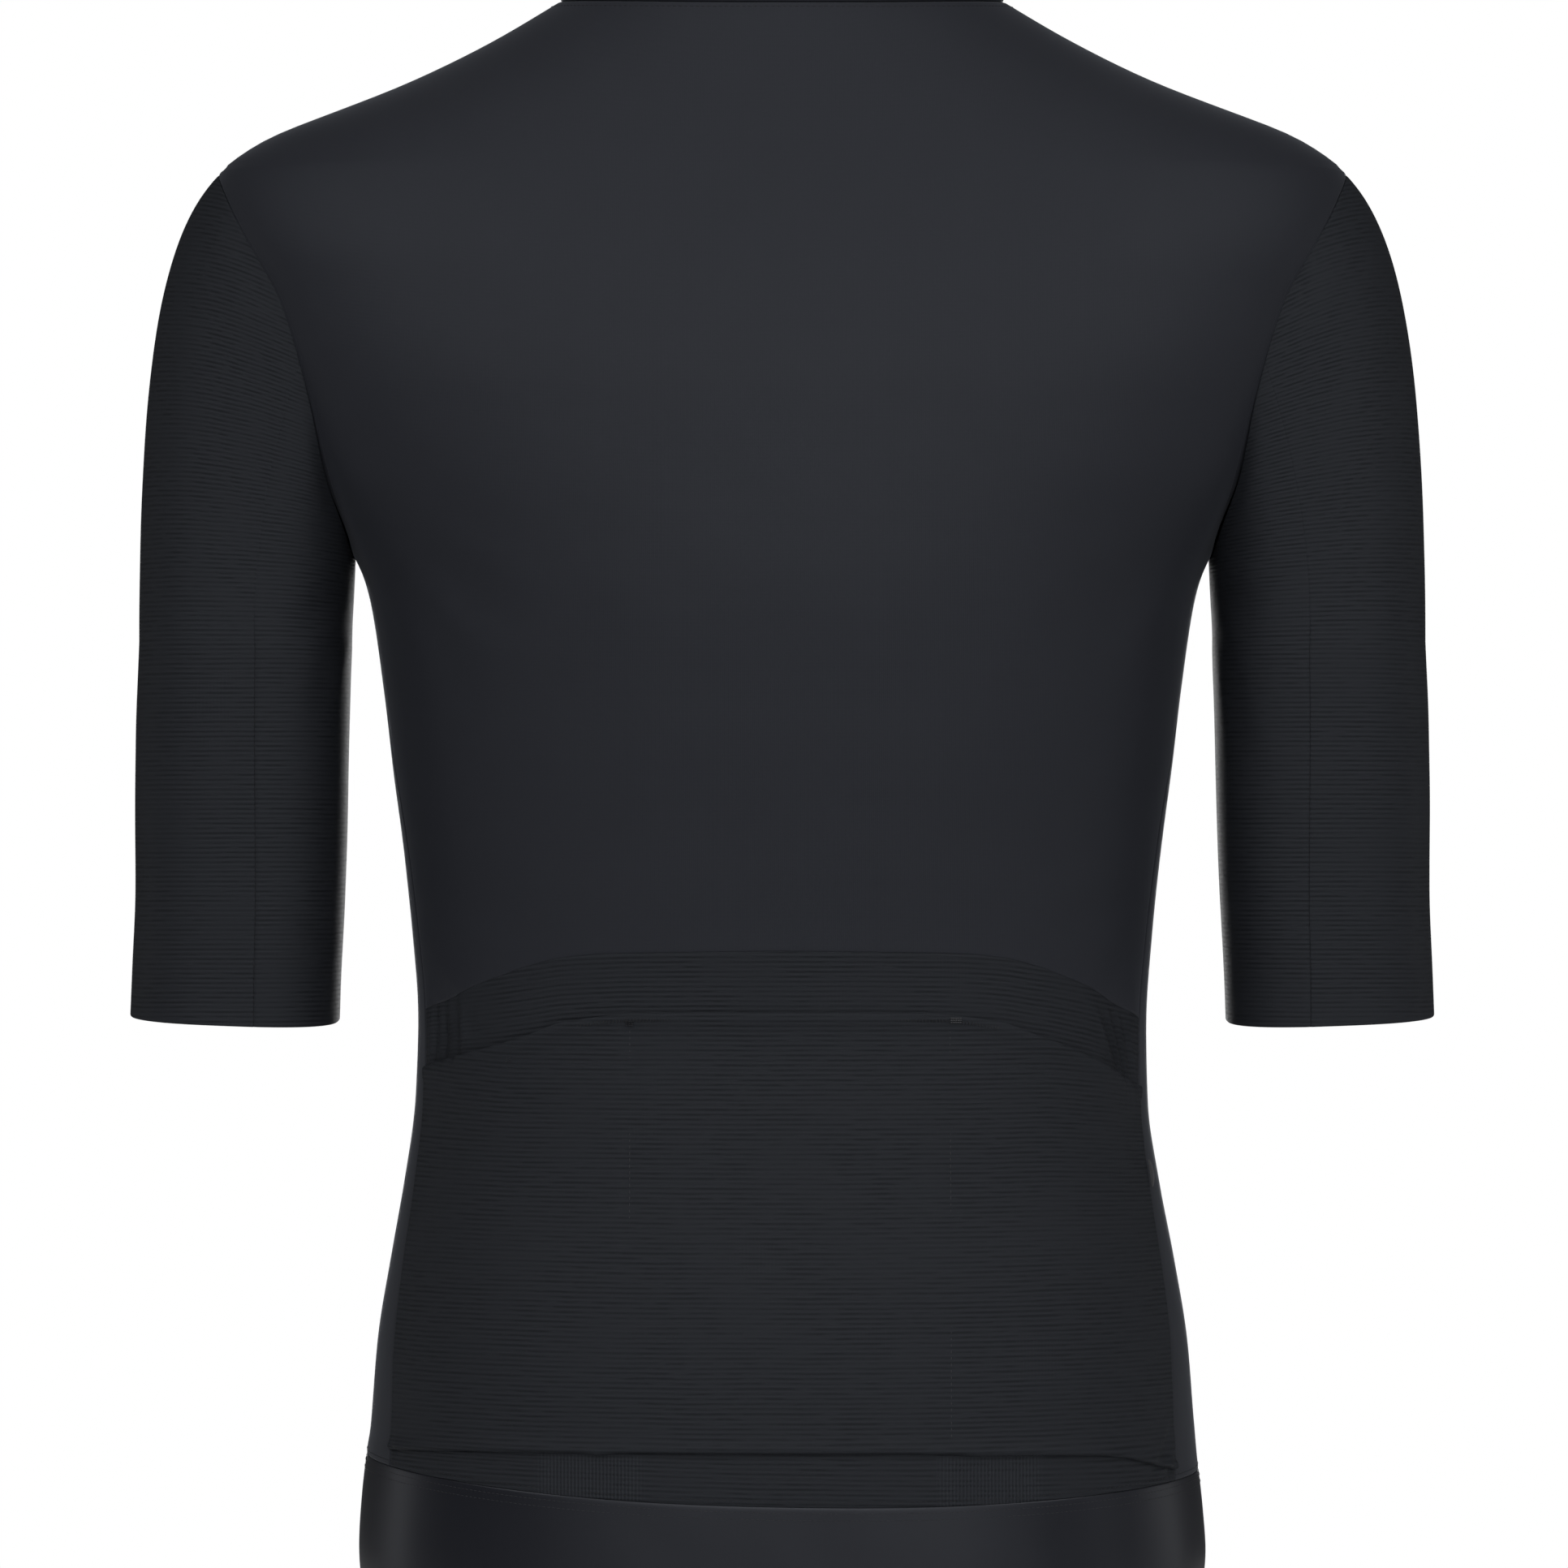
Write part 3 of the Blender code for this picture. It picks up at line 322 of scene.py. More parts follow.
# %% [markdown]
# ## Where rows and columns go
# A fine grid costs memory, so it is spent where the cloth bends most: beside a seam, where the edge rolls
# under. `spread` puts numbers an even step apart and crowds them towards the ends that lie at a seam.
# %% Rows and columns
CLOTH_STEP = 3.2
ROLL_STEPS = (0.25, 0.6, 1.05, 1.6, 2.3, 3.2, 4.6)


def spread(start, stop, step=CLOTH_STEP, ends="both"):
    """Numbers from start to stop, crowded towards the named ends: both, start, stop or none."""
    sign = 1.0 if stop > start else -1.0
    length = abs(stop - start)
    near = [v for v in ROLL_STEPS if v < 0.3 * length]
    low = [0.0] + (near if ends in ("both", "start") else [])
    high = [length] + ([length - v for v in near] if ends in ("both", "stop") else [])
    first, last = low[-1], high[-1]
    count = max(int(round((last - first) / step)), 1)
    middle = np.linspace(first, last, count + 1)[1:-1]
    return start + sign * np.concatenate([low, middle, high[::-1]])


def spread_shares(length, step=CLOTH_STEP, ends="both"):
    """Numbers spread over a length, as shares of it from 0 to 1."""
    return spread(0.0, length, step, ends) / length


def share_between(value, start, stop):
    """How far a value is from start to stop, held between 0 and 1."""
    return np.clip((value - start) / (stop - start), 0.0, 1.0)


def armhole_heights(steps=64):
    """Heights round the armhole from its foot up, closer together near both ends."""
    return ARMHOLE_MIDDLE_Z + ARMHOLE_HALF_TALL * np.cos(np.linspace(np.pi, 0.0, steps + 1))


print("across a 300 mm panel:", len(spread(0.0, 300.0)), "columns")

# %% [markdown]
# ## The sleeve's form
# A sleeve is one cloth closed along the back of the arm. Above, its cap curves over from the armhole oval
# to the first level ring. Below, the rings narrow slowly down to the hem. `down` runs from 0 at the armhole
# through 1 at the first ring to 2 at the hem.
# %% Sleeve points
sleeve_outer, sleeve_inner, sleeve_back, sleeve_front = curves(SLEEVE_RINGS)


def sleeve_ring(turn, height):
    """A point of the left sleeve below the cap. Turn 0 is its outer edge, 90 its back, 180 its inner edge."""
    c, s = np.cos(np.radians(turn)), np.sin(np.radians(turn))
    power = 2 / SLEEVE_ROUNDNESS
    middle_x = (sleeve_outer(height) + sleeve_inner(height)) / 2
    middle_y = (sleeve_back(height) + sleeve_front(height)) / 2
    x = middle_x + (sleeve_outer(height) - middle_x) * np.sign(c) * np.abs(c) ** power
    y = middle_y + (sleeve_back(height) - middle_y) * np.sign(s) * np.abs(s) ** power
    z = height + SLEEVE_TILT_OUT * (x - middle_x) + SLEEVE_TILT_FORWARD * (y - middle_y)
    return np.stack([x, y, z], axis=-1)


def armhole_point(turn):
    """A point of the left armhole seam. Turn 0 is its top, 90 its back, 180 its foot."""
    turn = np.asarray(turn, float) % 360.0
    height = ARMHOLE_MIDDLE_Z + ARMHOLE_HALF_TALL * np.cos(np.radians(turn))
    angle = np.where(turn <= 180.0, armhole_angle(height, False), armhole_angle(height, True))
    return body_point(angle, height), angle, height


def cap_point(turn, share):
    """A point of the sleeve cap, on a curve from the armhole seam (share 0) to the first ring (share 1)."""
    turn, share = np.broadcast_arrays(np.asarray(turn, float), np.asarray(share, float))
    start = armhole_point(turn)[0]
    end = sleeve_ring(turn, np.full(turn.shape, BICEP_Z))
    high = np.cos(np.radians(turn) / 2) ** 2
    across = np.sin(np.radians(turn))
    span = np.linalg.norm(end - start, axis=-1)
    reach = CAP_REACH_UNDER + (CAP_REACH_TOP - CAP_REACH_UNDER) * high**2
    rise = CAP_RISE_UNDER + (CAP_RISE_TOP - CAP_RISE_UNDER) * high**2
    out_x = CAP_OUTWARD * high
    out_y = -CAP_BACKWARD * across
    out_z = -np.sqrt(1.0 - out_x**2 - out_y**2)
    leave = np.stack([out_x, out_y, out_z], axis=-1)
    t = share[..., None]
    a = start + leave * (reach * span)[..., None]
    b = end + np.array([0.0, 0.0, 1.0]) * (rise * span)[..., None]
    return (1 - t) ** 3 * start + 3 * (1 - t) ** 2 * t * a + 3 * (1 - t) * t**2 * b + t**3 * end


SLEEVE_FOOT_Z = SLEEVE_RINGS[-1][0]


def sleeve_point(turn, down):
    """A point of the left sleeve, from the armhole (0) through the first ring (1) to the hem (2)."""
    turn, down = np.broadcast_arrays(np.asarray(turn, float), np.asarray(down, float))
    cap = cap_point(turn, np.clip(down, 0.0, 1.0))
    height = BICEP_Z + (SLEEVE_FOOT_Z - BICEP_Z) * np.clip(down - 1.0, 0.0, 1.0)
    ring = sleeve_ring(turn, height)
    return np.where((down < 1.0)[..., None], cap, ring)


def sleeve_normal(turn, down):
    around = sleeve_point(turn + 1.0, down) - sleeve_point(turn - 1.0, down)
    below, above = np.minimum(down + 0.02, 2.0), np.maximum(down - 0.02, 0.0)
    return unit(np.cross(sleeve_point(turn, below) - sleeve_point(turn, above), around))


SEAM_TURN_TOP, SEAM_TURN_FOOT = 91.0, 100.0


def closing_turn(down):
    """Where the sleeve's closing seam runs, down the back of the arm."""
    return SEAM_TURN_TOP + (SEAM_TURN_FOOT - SEAM_TURN_TOP) * np.clip(np.asarray(down, float) / 2.0, 0.0, 1.0)


sleeve_wide = sleeve_outer(SLEEVE_FOOT_Z) - sleeve_inner(SLEEVE_FOOT_Z)
print("a sleeve's hem is", round(float(sleeve_wide), 1), "mm across")

# %% [markdown]
# ## Grids of the body's panels
# Each panel is a grid of angles and heights between its seams. The upper back ends at the side seams,
# armholes, shoulder seams and neck. The lower back lies between the bowed seam and the hem band, and the
# pocket cloth takes the part of it below the pocket mouth.
# %% Panel grids
SEWN_GAP = 0.12
# Where the bowed seam meets the side seam
BOWED_SIDE_Z = -424.0
# Lengths that say how many rows and columns a panel gets
UPPER_HALF_WIDE, FRONT_WIDE, LOWER_HALF_WIDE, LOWER_EVEN_HALF_WIDE = 200.0, 240.0, 160.0, 120.0
LOWER_FOOT_TALL, POCKET_TALL, LOWER_TOP_TALL = 14.0, 177.0, 25.0


def side_edges():
    """Heights and angles up the edge of the upper back: side seam, armhole, shoulder seam."""
    foot = float(bowed_seam(side_seam(BOWED_SIDE_Z)))
    below = spread(foot, ARMPIT_Z, ends="start")[:-1]
    beside = armhole_heights()
    above = spread(SHOULDER_Z, NECK_SIDE_Z, ends="stop")[1:]
    heights = np.concatenate([below, beside, above])
    shoulder = np.full(above.shape, SHOULDER_SEAM_ANGLE)
    back = np.concatenate([side_seam(below), armhole_angle(beside, False), shoulder])
    front = np.concatenate([side_seam(below), armhole_angle(beside, True), shoulder])
    return heights, back, front


def upper_grid():
    """Angles and heights of the upper back's points."""
    heights, edge, _ = side_edges()
    across = spread(-UPPER_HALF_WIDE, UPPER_HALF_WIDE) / UPPER_HALF_WIDE
    last = edge - turn_for(SEWN_GAP / 2, edge, heights)
    angles = last[:, None] * across[None, :]
    foot_fade = share_between(heights, ARMPIT_Z, heights[0])[:, None] ** 1.5
    top_fade = share_between(heights, SHOULDER_Z, heights[-1])[:, None]
    bow = bowed_seam(np.abs(angles))
    bow = bow - bow[:, -1:]
    dip = neck_back(angles) - NECK_SIDE_Z
    levels = heights[:, None] + bow * foot_fade + dip * top_fade
    levels[0] += SEWN_GAP / 2
    return angles, levels


def lower_shares():
    """Rows of the lower back: 0 at the band, 1 and 2 at the pocket's foot and mouth, 3 at the bowed seam."""
    foot = spread_shares(LOWER_FOOT_TALL, 1.6, "start")
    pocket = 1.0 + spread_shares(POCKET_TALL, 2.6)
    top = 2.0 + spread_shares(LOWER_TOP_TALL, 1.5, "stop")
    return np.concatenate([foot, pocket[1:], top[1:]])


def lower_grid(shares):
    """Angles and heights of the lower back's points."""
    even, wide = LOWER_EVEN_HALF_WIDE, LOWER_HALF_WIDE
    right, left = spread(-wide, -even, 1.3, "start")[:-1], spread(even, wide, 1.3, "stop")[1:]
    across = np.concatenate([right, spread(-even, even, 2.8, "none"), left]) / wide
    angles, levels = [], []
    for share in shares:
        seam = 70.0  # a first guess of the side seam's angle, made better four times
        for _ in range(4):
            stops = [band_top(seam), pocket_foot(seam), pocket_mouth(seam), bowed_seam(seam)]
            level = float(np.interp(share, [0.0, 1.0, 2.0, 3.0], [float(v) for v in stops]))
            seam = float(side_seam(level))
        row = (seam - float(turn_for(SEWN_GAP / 2, seam, level))) * across
        stops = [band_top(row), pocket_foot(row), pocket_mouth(np.abs(row)), bowed_seam(np.abs(row))]
        low = min(int(share), 2)
        angles.append(row)
        levels.append(stops[low] + (stops[low + 1] - stops[low]) * (share - low))
    return np.array(angles), np.array(levels)


def band_top(angle):
    c = np.cos(np.radians(angle))
    reach = np.where(c > 0, BAND_TOP_BACK - BAND_TOP_SIDE, BAND_TOP_FRONT - BAND_TOP_SIDE)
    return BAND_TOP_SIDE + reach * c**2


def pocket_foot(angle):
    return POCKET_FOOT_MID + (POCKET_FOOT_SIDE - POCKET_FOOT_MID) * np.sin(np.radians(angle)) ** 2


def neck_back(angle):
    c = np.clip(np.cos(np.radians(angle)), 0.0, 1.0)
    return NECK_SIDE_Z + (NECK_BACK_DIP - NECK_SIDE_Z) * c**1.5


def neck_front_grid(shares):
    """Angle and height of points along the front half of the neck seam, from the shoulder seam to the zip."""
    first = NECK_FRONT[0][0]
    fine = first + (NECK_FRONT_Z - first) * np.linspace(0.0, 1.0, 200) ** 1.3
    turn = np.abs(angle_at_x(neck_half(fine), fine, True))
    turn[0] = SHOULDER_SEAM_ANGLE
    turn = np.maximum.accumulate(np.maximum(turn, SHOULDER_SEAM_ANGLE))
    path = body_point(turn, fine)
    run = np.concatenate([[0.0], np.cumsum(np.linalg.norm(np.diff(path, axis=0), axis=1))])
    at = np.asarray(shares) * run[-1]
    return np.interp(at, run, turn), np.interp(at, run, fine)


def zip_edge_angle(height, x=ZIP_EDGE_X):
    return np.abs(angle_at_x(np.full(np.shape(height), x), height, True))


def front_rows():
    """Heights of the rows of a front cloth along its side edge and along the zip, from the hem band up."""
    heights, _, edge = side_edges()
    foot = float(band_top(side_seam(BAND_TOP_SIDE)))
    low = spread(foot, heights[0], ends="start")[:-1]
    outer = np.concatenate([low, heights])
    angle = np.concatenate([side_seam(low), edge])
    knee = int(np.argmin(np.abs(outer - ARMPIT_Z)))
    rise = np.linspace(0.0, 1.0, len(outer) - knee)
    zipped = outer.copy()
    zipped[knee:] = ARMPIT_Z + (NECK_FRONT_Z - ARMPIT_Z) * rise
    blend = np.concatenate([np.zeros(knee), rise**2])
    return outer, angle, zipped, blend


def front_grid():
    """Angles and heights of a front cloth's points, from its side edge to the zip."""
    outer, edge, zipped, blend = front_rows()
    even = spread_shares(FRONT_WIDE)
    neck_turn, neck_level = neck_front_grid(even)
    neck_turn = (neck_turn - neck_turn[0]) / (neck_turn[-1] - neck_turn[0])
    neck_level = (neck_level - neck_level[0]) / (neck_level[-1] - neck_level[0])
    first = edge + turn_for(SEWN_GAP / 2, edge, outer)
    last = zip_edge_angle(zipped)
    across = even[None, :] * (1 - blend[:, None]) + neck_turn[None, :] * blend[:, None]
    down = even[None, :] ** 2 * (1 - blend[:, None]) + neck_level[None, :] * blend[:, None]
    angles = first[:, None] + (last - first)[:, None] * across
    levels = outer[:, None] + (zipped - outer)[:, None] * down
    foot_fade = share_between(outer, ARMPIT_Z, outer[0])[:, None] ** 2
    bow = band_top(angles)
    levels = levels + (bow - bow[:, :1]) * foot_fade
    levels[0] += SEWN_GAP / 2
    return angles, levels


print("upper back grid", upper_grid()[0].shape, "front grid", front_grid()[0].shape)

# %% [markdown]
# ## Folds
# A close jersey folds little: it is pulled from the armpits towards the shoulder blades, it wrinkles a
# little at the waist, and the pocket's elastic mouth gathers the cloth where it meets the side seams. Each
# fold is a line on the cloth with a width and a depth, pushed in as a soft trough with a low ridge on each
# side. Lengths, depths and spacing differ on purpose, because even folds look printed. Angles below zero
# are on the wearer's right.
# %% Folds of the body
BODY_FOLDS = [
    # from angle, from height, to angle, to height, sag, half_wide, deep
    (61, -214, 33, -263, 7, 10, -0.9),
    (-62, -217, -36, -274, 6, 11, -0.8),
    (66, -233, 46, -301, -5, 8, -0.5),
    (-65, -236, -43, -292, -6, 9, -0.6),
    (24, -246, 31, -334, 3, 21, -0.8),
    (-17, -258, -12, -329, 2, 19, -0.5),
    (67, -362, 40, -381, 4, 9, -0.6),
    (-68, -371, -44, -384, 3, 8, -0.7),
    (68, -391, 52, -399, 2, 6, -0.4),
    (66, -411, 63.5, -451, 0, 8.5, -1.5),
    (-61, -409, -67.5, -458, 0, 8.5, -1.5),
    (69.4, -419.5, 69.7, -447, 0, 1.8, -2.1),
    (65.6, -420, 65.2, -446.5, 0, 1.6, -1.5),
    (60.6, -415, 59.8, -445, 0.6, 2.3, -1.7),
    (55.5, -420, 54, -437, 0.4, 2.4, -0.6),
    (-57.5, -419, -66.5, -447.5, -0.8, 2, -1.6),
    (-62, -420, -70, -450.5, -0.5, 1.7, -1.9),
    (-66.5, -422.5, -72.5, -455, -0.4, 1.8, -1.4),
    (-54, -424, -60.5, -441, 0, 2.4, -0.5),
    (-65, -474, -70.5, -479.5, 0, 4.2, -0.9),
    (63.5, -505, 66.5, -560, -2, 6, -0.6),
    (-64, -520, -66, -571, 2, 6, -0.5),
    (-59.5, -606, -66.5, -593.5, 2, 2.6, -1.2),
    (-64, -611, -66.8, -602, 1, 2, -0.8),
    (64, -607, 66.6, -598, 1, 2.4, -0.7),
    (119, -214, 152, -259, 8, 11, -0.9),
    (-118, -211, -149, -268, 7, 10, -0.8),
    (112, -232, 138, -309, 6, 9, -0.6),
    (-113, -236, -135, -296, 5, 10, -0.5),
    (111, -66, 133, -131, 5, 12, -0.7),
    (-110, -70, -129, -124, 4, 11, -0.6),
    (103, -401, 149, -424, 6, 10, -1),
    (-101, -409, -143, -438, 7, 9, -0.9),
    (108, -447, 146, -463, 5, 8, -0.6),
    (-104, -441, -151, -471, 4, 10, -0.7),
    (112, -531, 158, -549, 5, 11, -0.5),
    (-116, -519, -155, -541, 4, 12, -0.5),
    (176.5, -128, 163, -137, 2, 6, -0.7),
    (-176.5, -171, -160, -179, 2, 7, -0.8),
    (176.5, -236, 166, -243, 2, 6, -0.6),
    (-176.5, -322, -164, -331, 2, 7, -0.7),
    (176.5, -381, 161, -392, 3, 6, -0.8),
    (-176.5, -447, -166, -452, 2, 5, -0.6),
    (176.5, -501, 167, -507, 1, 6, -0.5),
]
print(len(BODY_FOLDS), "folds on the body")

# %% [markdown]
# The sleeves are pulled the same way: from the armpit round the arm, back and front. Turn 0 is the outer
# edge of the arm, 90 its back, 180 the inner edge and 270 its front.
# %% Folds of the sleeves
LEFT_SLEEVE_FOLDS = [
    # from turn, from down, to turn, to down, sag, half_wide, deep
    (163, 0.34, 118, 0.93, 4, 8, -0.8),
    (170, 0.62, 131, 1.22, 3, 7, -0.6),
    (158, 1.79, 124, 1.72, 2, 5, -0.6),
    (196, 0.36, 243, 0.98, 4, 9, -1.1),
    (192, 0.66, 238, 1.31, 3, 8, -0.9),
    (201, 1.12, 251, 1.43, 3, 7, -0.6),
    (318, 0.72, 276, 0.94, 3, 10, -0.5),
    (24, 1.31, 57, 1.26, 2, 9, -0.4),
]
RIGHT_SLEEVE_FOLDS = [
    (165, 0.31, 123, 0.84, 4, 9, -0.8),
    (168, 0.71, 135, 1.33, 3, 7, -0.5),
    (154, 1.61, 128, 1.66, 2, 6, -0.4),
    (197, 0.41, 239, 1.06, 4, 8, -1),
    (191, 0.78, 244, 1.24, 3, 9, -0.9),
    (204, 1.28, 247, 1.52, 2, 6, -0.7),
    (324, 0.81, 281, 1.02, 3, 9, -0.5),
    (31, 1.18, 61, 1.22, 2, 8, -0.4),
]
FOLD_POINTS = 26
# The low ridge beside a trough: its height as a share of the depth, and how far out it stands in half widths
RIDGE_SHARE, RIDGE_OUT = 0.30, 1.7


def fold_lines(table, point_at, sag_by):
    """Each fold of the table as a line of points on the cloth, with how far along it each point is."""
    lines = []
    for a0, h0, a1, h1, sag, half_wide, deep in table:
        t = np.linspace(0.0, 1.0, FOLD_POINTS)
        heights = h0 + (h1 - h0) * t - sag_by * sag * np.sin(np.pi * t)
        lines.append((point_at(a0 + (a1 - a0) * t, heights), t, half_wide, deep))
    return lines


def fold_depth(points, lines):
    """How far the folds move each point along its direction out, in mm: below 0 in a trough."""
    flat = points.reshape(-1, 3)
    moved = np.zeros(len(flat))
    for line, t, half_wide, deep in lines:
        reach = 3.2 * half_wide
        near = np.all((flat > line.min(axis=0) - reach) & (flat < line.max(axis=0) + reach), axis=1)
        gaps = np.linalg.norm(flat[near, None, :] - line[None, :, :], axis=2)
        closest = gaps.argmin(axis=1)
        away = gaps[np.arange(len(closest)), closest] / half_wide
        fade = np.clip(np.sin(np.pi * np.clip(t[closest], 0.02, 0.98)), 0.0, 1.0) ** 0.6
        ridge = RIDGE_SHARE * np.exp(-((away - RIDGE_OUT) ** 2) / 0.5)
        moved[near] += deep * fade * (np.exp(-(away**2)) - ridge)
    return moved.reshape(points.shape[:-1])


def hang(points):
    """The slight unevenness of cloth that hangs free, a fraction of a millimetre over a hand's width."""
    x, y, z = points[..., 0], points[..., 1], points[..., 2]
    slow = np.sin(x / 27.0 + 1.1) * np.sin(z / 34.0 + 0.6) + np.sin((x + z) / 47.0 + y / 39.0)
    quick = np.sin(x / 11.0 - z / 16.0 + 2.0) * np.sin(z / 12.5 + y / 19.0)
    return 0.16 * slow + 0.05 * quick


body_folds = fold_lines(BODY_FOLDS, body_point, 1.0)
left_folds = fold_lines(LEFT_SLEEVE_FOLDS, sleeve_point, -0.006)
right_folds = fold_lines(RIGHT_SLEEVE_FOLDS, sleeve_point, -0.006)
print(len(left_folds) + len(right_folds), "folds on the sleeves")

# %% [markdown]
# ## Cloth as a shell
# Knit for a jersey is about half a millimetre thick. A shell has two skins of quads and a narrow rim that
# joins them, so it is closed and throws true shadows. At a sewn edge the cloth rolls under by almost a
# millimetre: that roll is what makes a seam visible, as a fine groove with a soft highlight beside it. The
# shell also carries its own map, in metres round and up the cloth, which the knit patterns follow.
# %% Shells
KNIT = 0.8
ROLL_WIDE = 1.7
SHARP_DEGREES = 48.0


def roll(distance, deep, wide=ROLL_WIDE):
    """How far cloth this far from its sewn edge turns in: a quarter round."""
    t = np.clip(1.0 - distance / wide, 0.0, 1.0)
    return -deep * (1.0 - np.sqrt(np.clip(1.0 - t**2, 0.0, 1.0)))


def edge_distances(points):
    """How far each point is from its grid's first and last column and first and last row."""
    round_steps = np.linalg.norm(np.diff(points, axis=1), axis=2)
    up_steps = np.linalg.norm(np.diff(points, axis=0), axis=2)
    run = np.concatenate([np.zeros((len(points), 1)), np.cumsum(round_steps, axis=1)], axis=1)
    rise = np.concatenate([np.zeros((1, points.shape[1])), np.cumsum(up_steps, axis=0)])
    return {"first": run, "last": run[:, -1:] - run, "foot": rise, "top": rise[-1:] - rise}


def new_piece(name, data):
    """A thing in the scene that shows this mesh, lamp or camera."""
    piece = bpy.data.objects.new(name, data)
    bpy.context.scene.collection.objects.link(piece)
    return piece


def lay_cloth(name, outer, inner, along, up, tube=False):
    """A closed shell of quads between two grids in millimetres. Rows go up and columns go round.

    along and up are the cloth's own map in millimetres. On a tube they have one more column than the points.
    """
    rows, columns = outer.shape[:2]
    half = rows * columns
    steps = columns if tube else columns - 1
    i, j = (v.ravel() for v in np.meshgrid(np.arange(rows - 1), np.arange(steps), indexing="ij"))

    def point(at):
        return at[0] * columns + at[1] % columns

    def on_map(corners):
        return np.stack([np.stack([along[c], up[c]], axis=-1) for c in corners], axis=1)

    corners = [(i, j), (i, j + 1), (i + 1, j + 1), (i + 1, j)]
    quads, places = np.stack([point(c) for c in corners], axis=1), on_map(corners)
    faces, maps = [quads, half + quads[:, ::-1]], [places, places[:, ::-1]]
    every_row, every_step = np.arange(rows - 1), np.arange(steps)
    rims = [(0 * every_step, every_step, 0, 1, 1), (0 * every_step + rows - 1, every_step, 0, 1, -1)]
    if not tube:
        rims += [(every_row, 0 * every_row, 1, 0, -1), (every_row, 0 * every_row + columns - 1, 1, 0, 1)]
    for a, b, down, right, way in rims:
        start, end = (a, b), (a + down, b + right)
        rim = np.stack([point(end), point(start), half + point(start), half + point(end)], axis=1)
        faces.append(rim[:, ::way])
        maps.append(on_map((end, start, start, end))[:, ::way])
    faces, maps = np.concatenate(faces), np.concatenate(maps)
    points = np.concatenate([outer.reshape(-1, 3), inner.reshape(-1, 3)]) * MM
    mesh = bpy.data.meshes.new(name)
    mesh.from_pydata(points.tolist(), [], faces.tolist())
    layer = mesh.uv_layers.new(name="cloth")
    layer.data.foreach_set("uv", (maps.reshape(-1) * MM).astype(np.float32))
    mesh.update()
    a, b, c, d = (points[faces[:, k]] for k in range(4))
    if (a * (np.cross(b, c) + np.cross(c, d))).sum() < 0:  # the volume, so the faces point inwards
        mesh.flip_normals()
    mesh.shade_smooth()
    mesh.set_sharp_from_angle(angle=math.radians(SHARP_DEGREES))
    return new_piece(name, mesh)


def skin_area(points):
    """The area of a grid of points, in square metres."""
    a, b = points[:-1, :-1], points[1:, 1:]
    c, d = points[:-1, 1:], points[1:, :-1]
    return float(np.linalg.norm(np.cross(b - a, d - c), axis=2).sum()) / 2 * MM**2


DIP_DEEP, DIP_HALF_WIDE = 0.9, 9.0


def armhole_dip(distance, height):
    """The wide shallow trough along the armhole, where the sleeve pulls. It fades at the armpit."""
    above = np.clip((height - ARMPIT_Z) / 30.0, 0.0, 1.0)
    below = np.clip((SHOULDER_Z - height) / 34.0, 0.12, 1.0)
    return -DIP_DEEP * above * below * np.exp(-((distance / DIP_HALF_WIDE) ** 2))


def body_cloth(name, angles, levels, sewn, lift=0.0, thick=KNIT, extra=None, bow=0.0):
    """A panel on the body with its folds. sewn says how deep each edge rolls into its seam.

    bow is how far, in millimetres at each point, the knit's courses run above level.
    """
    face, away = body_point(angles, levels), body_normal(angles, levels)
    moved = fold_depth(face, body_folds) + hang(face) + lift
    near = edge_distances(face)
    rolled = np.zeros(moved.shape)
    for edge, deep in sewn.items():
        rolled = np.minimum(rolled, roll(near[edge], deep))
    moved = moved + rolled + (0.0 if extra is None else extra(near, angles, levels))
    outer = face + moved[..., None] * away
    inner = outer - thick * away
    middle = near["first"][:, [0]] + near["first"][:, [near["first"].shape[1] // 2]]
    piece = lay_cloth(name, outer, inner, near["first"] - middle, levels - bow)
    print(name, "area", round(skin_area(outer), 4), "m2,", len(piece.data.polygons), "faces")
    return piece


def put_finish(piece, finish):
    """Gives a piece its material."""
    piece.data.materials.clear()
    piece.data.materials.append(FINISHES[finish])


# %% [markdown]
# ## Finishes
# Every cloth here is nearly black, so its colour does little and its surface does the work. The smooth knit
# is matt with fine upright wales. The ribbed knit has level ribs two millimetres apart, broken into short
# dashes where the yarn tucks in. The elastic band is satin. Each pattern reads the cloth's own map, in
# metres, so it follows the panel as it bends. Colours are mixed by noise because no dyed yarn is even.
#
# A pattern is a sum, and a node tree of sums is long to write. `Flow` wraps a node's output, so that a
# recipe can be written with the usual signs and still ends up as plain nodes.
# %% A short way to build node trees
FINISHES = {}


def feed(node, inputs):
    """Gives a node's inputs what they need: another node's output, or a plain value."""
    for key, value in inputs.items():
        value = value.socket if isinstance(value, Flow) else value
        if isinstance(value, bpy.types.NodeSocket):
            node.id_data.links.new(value, node.inputs[key])
        elif value is not None:
            node.inputs[key].default_value = value
    return node


def add_node(tree, kind, inputs=None, **settings):
    node = tree.nodes.new(kind)
    for name, value in settings.items():
        setattr(node, name, value)
    return feed(node, inputs or {})


def calc(kind, a, b=None):
    """A sum of two numbers, of which at least one flows."""
    tree = (a if isinstance(a, Flow) else b).socket.id_data
    return Flow(add_node(tree, "ShaderNodeMath", {0: a, 1: b}, operation=kind).outputs[0])


class Flow:
    """A number that flows from node to node. It can be written in a sum like any other number."""

    def __init__(self, socket):
        self.socket = socket

    def __add__(self, other):
        return calc("ADD", self, other)

    def __sub__(self, other):
        return calc("SUBTRACT", self, other)

    def __rsub__(self, other):
        return calc("SUBTRACT", other, self)

    def __mul__(self, other):
        return calc("MULTIPLY", self, other)

    def __mod__(self, other):
        return calc("MODULO", self, other)

    def __pow__(self, other):
        return calc("POWER", self, other)


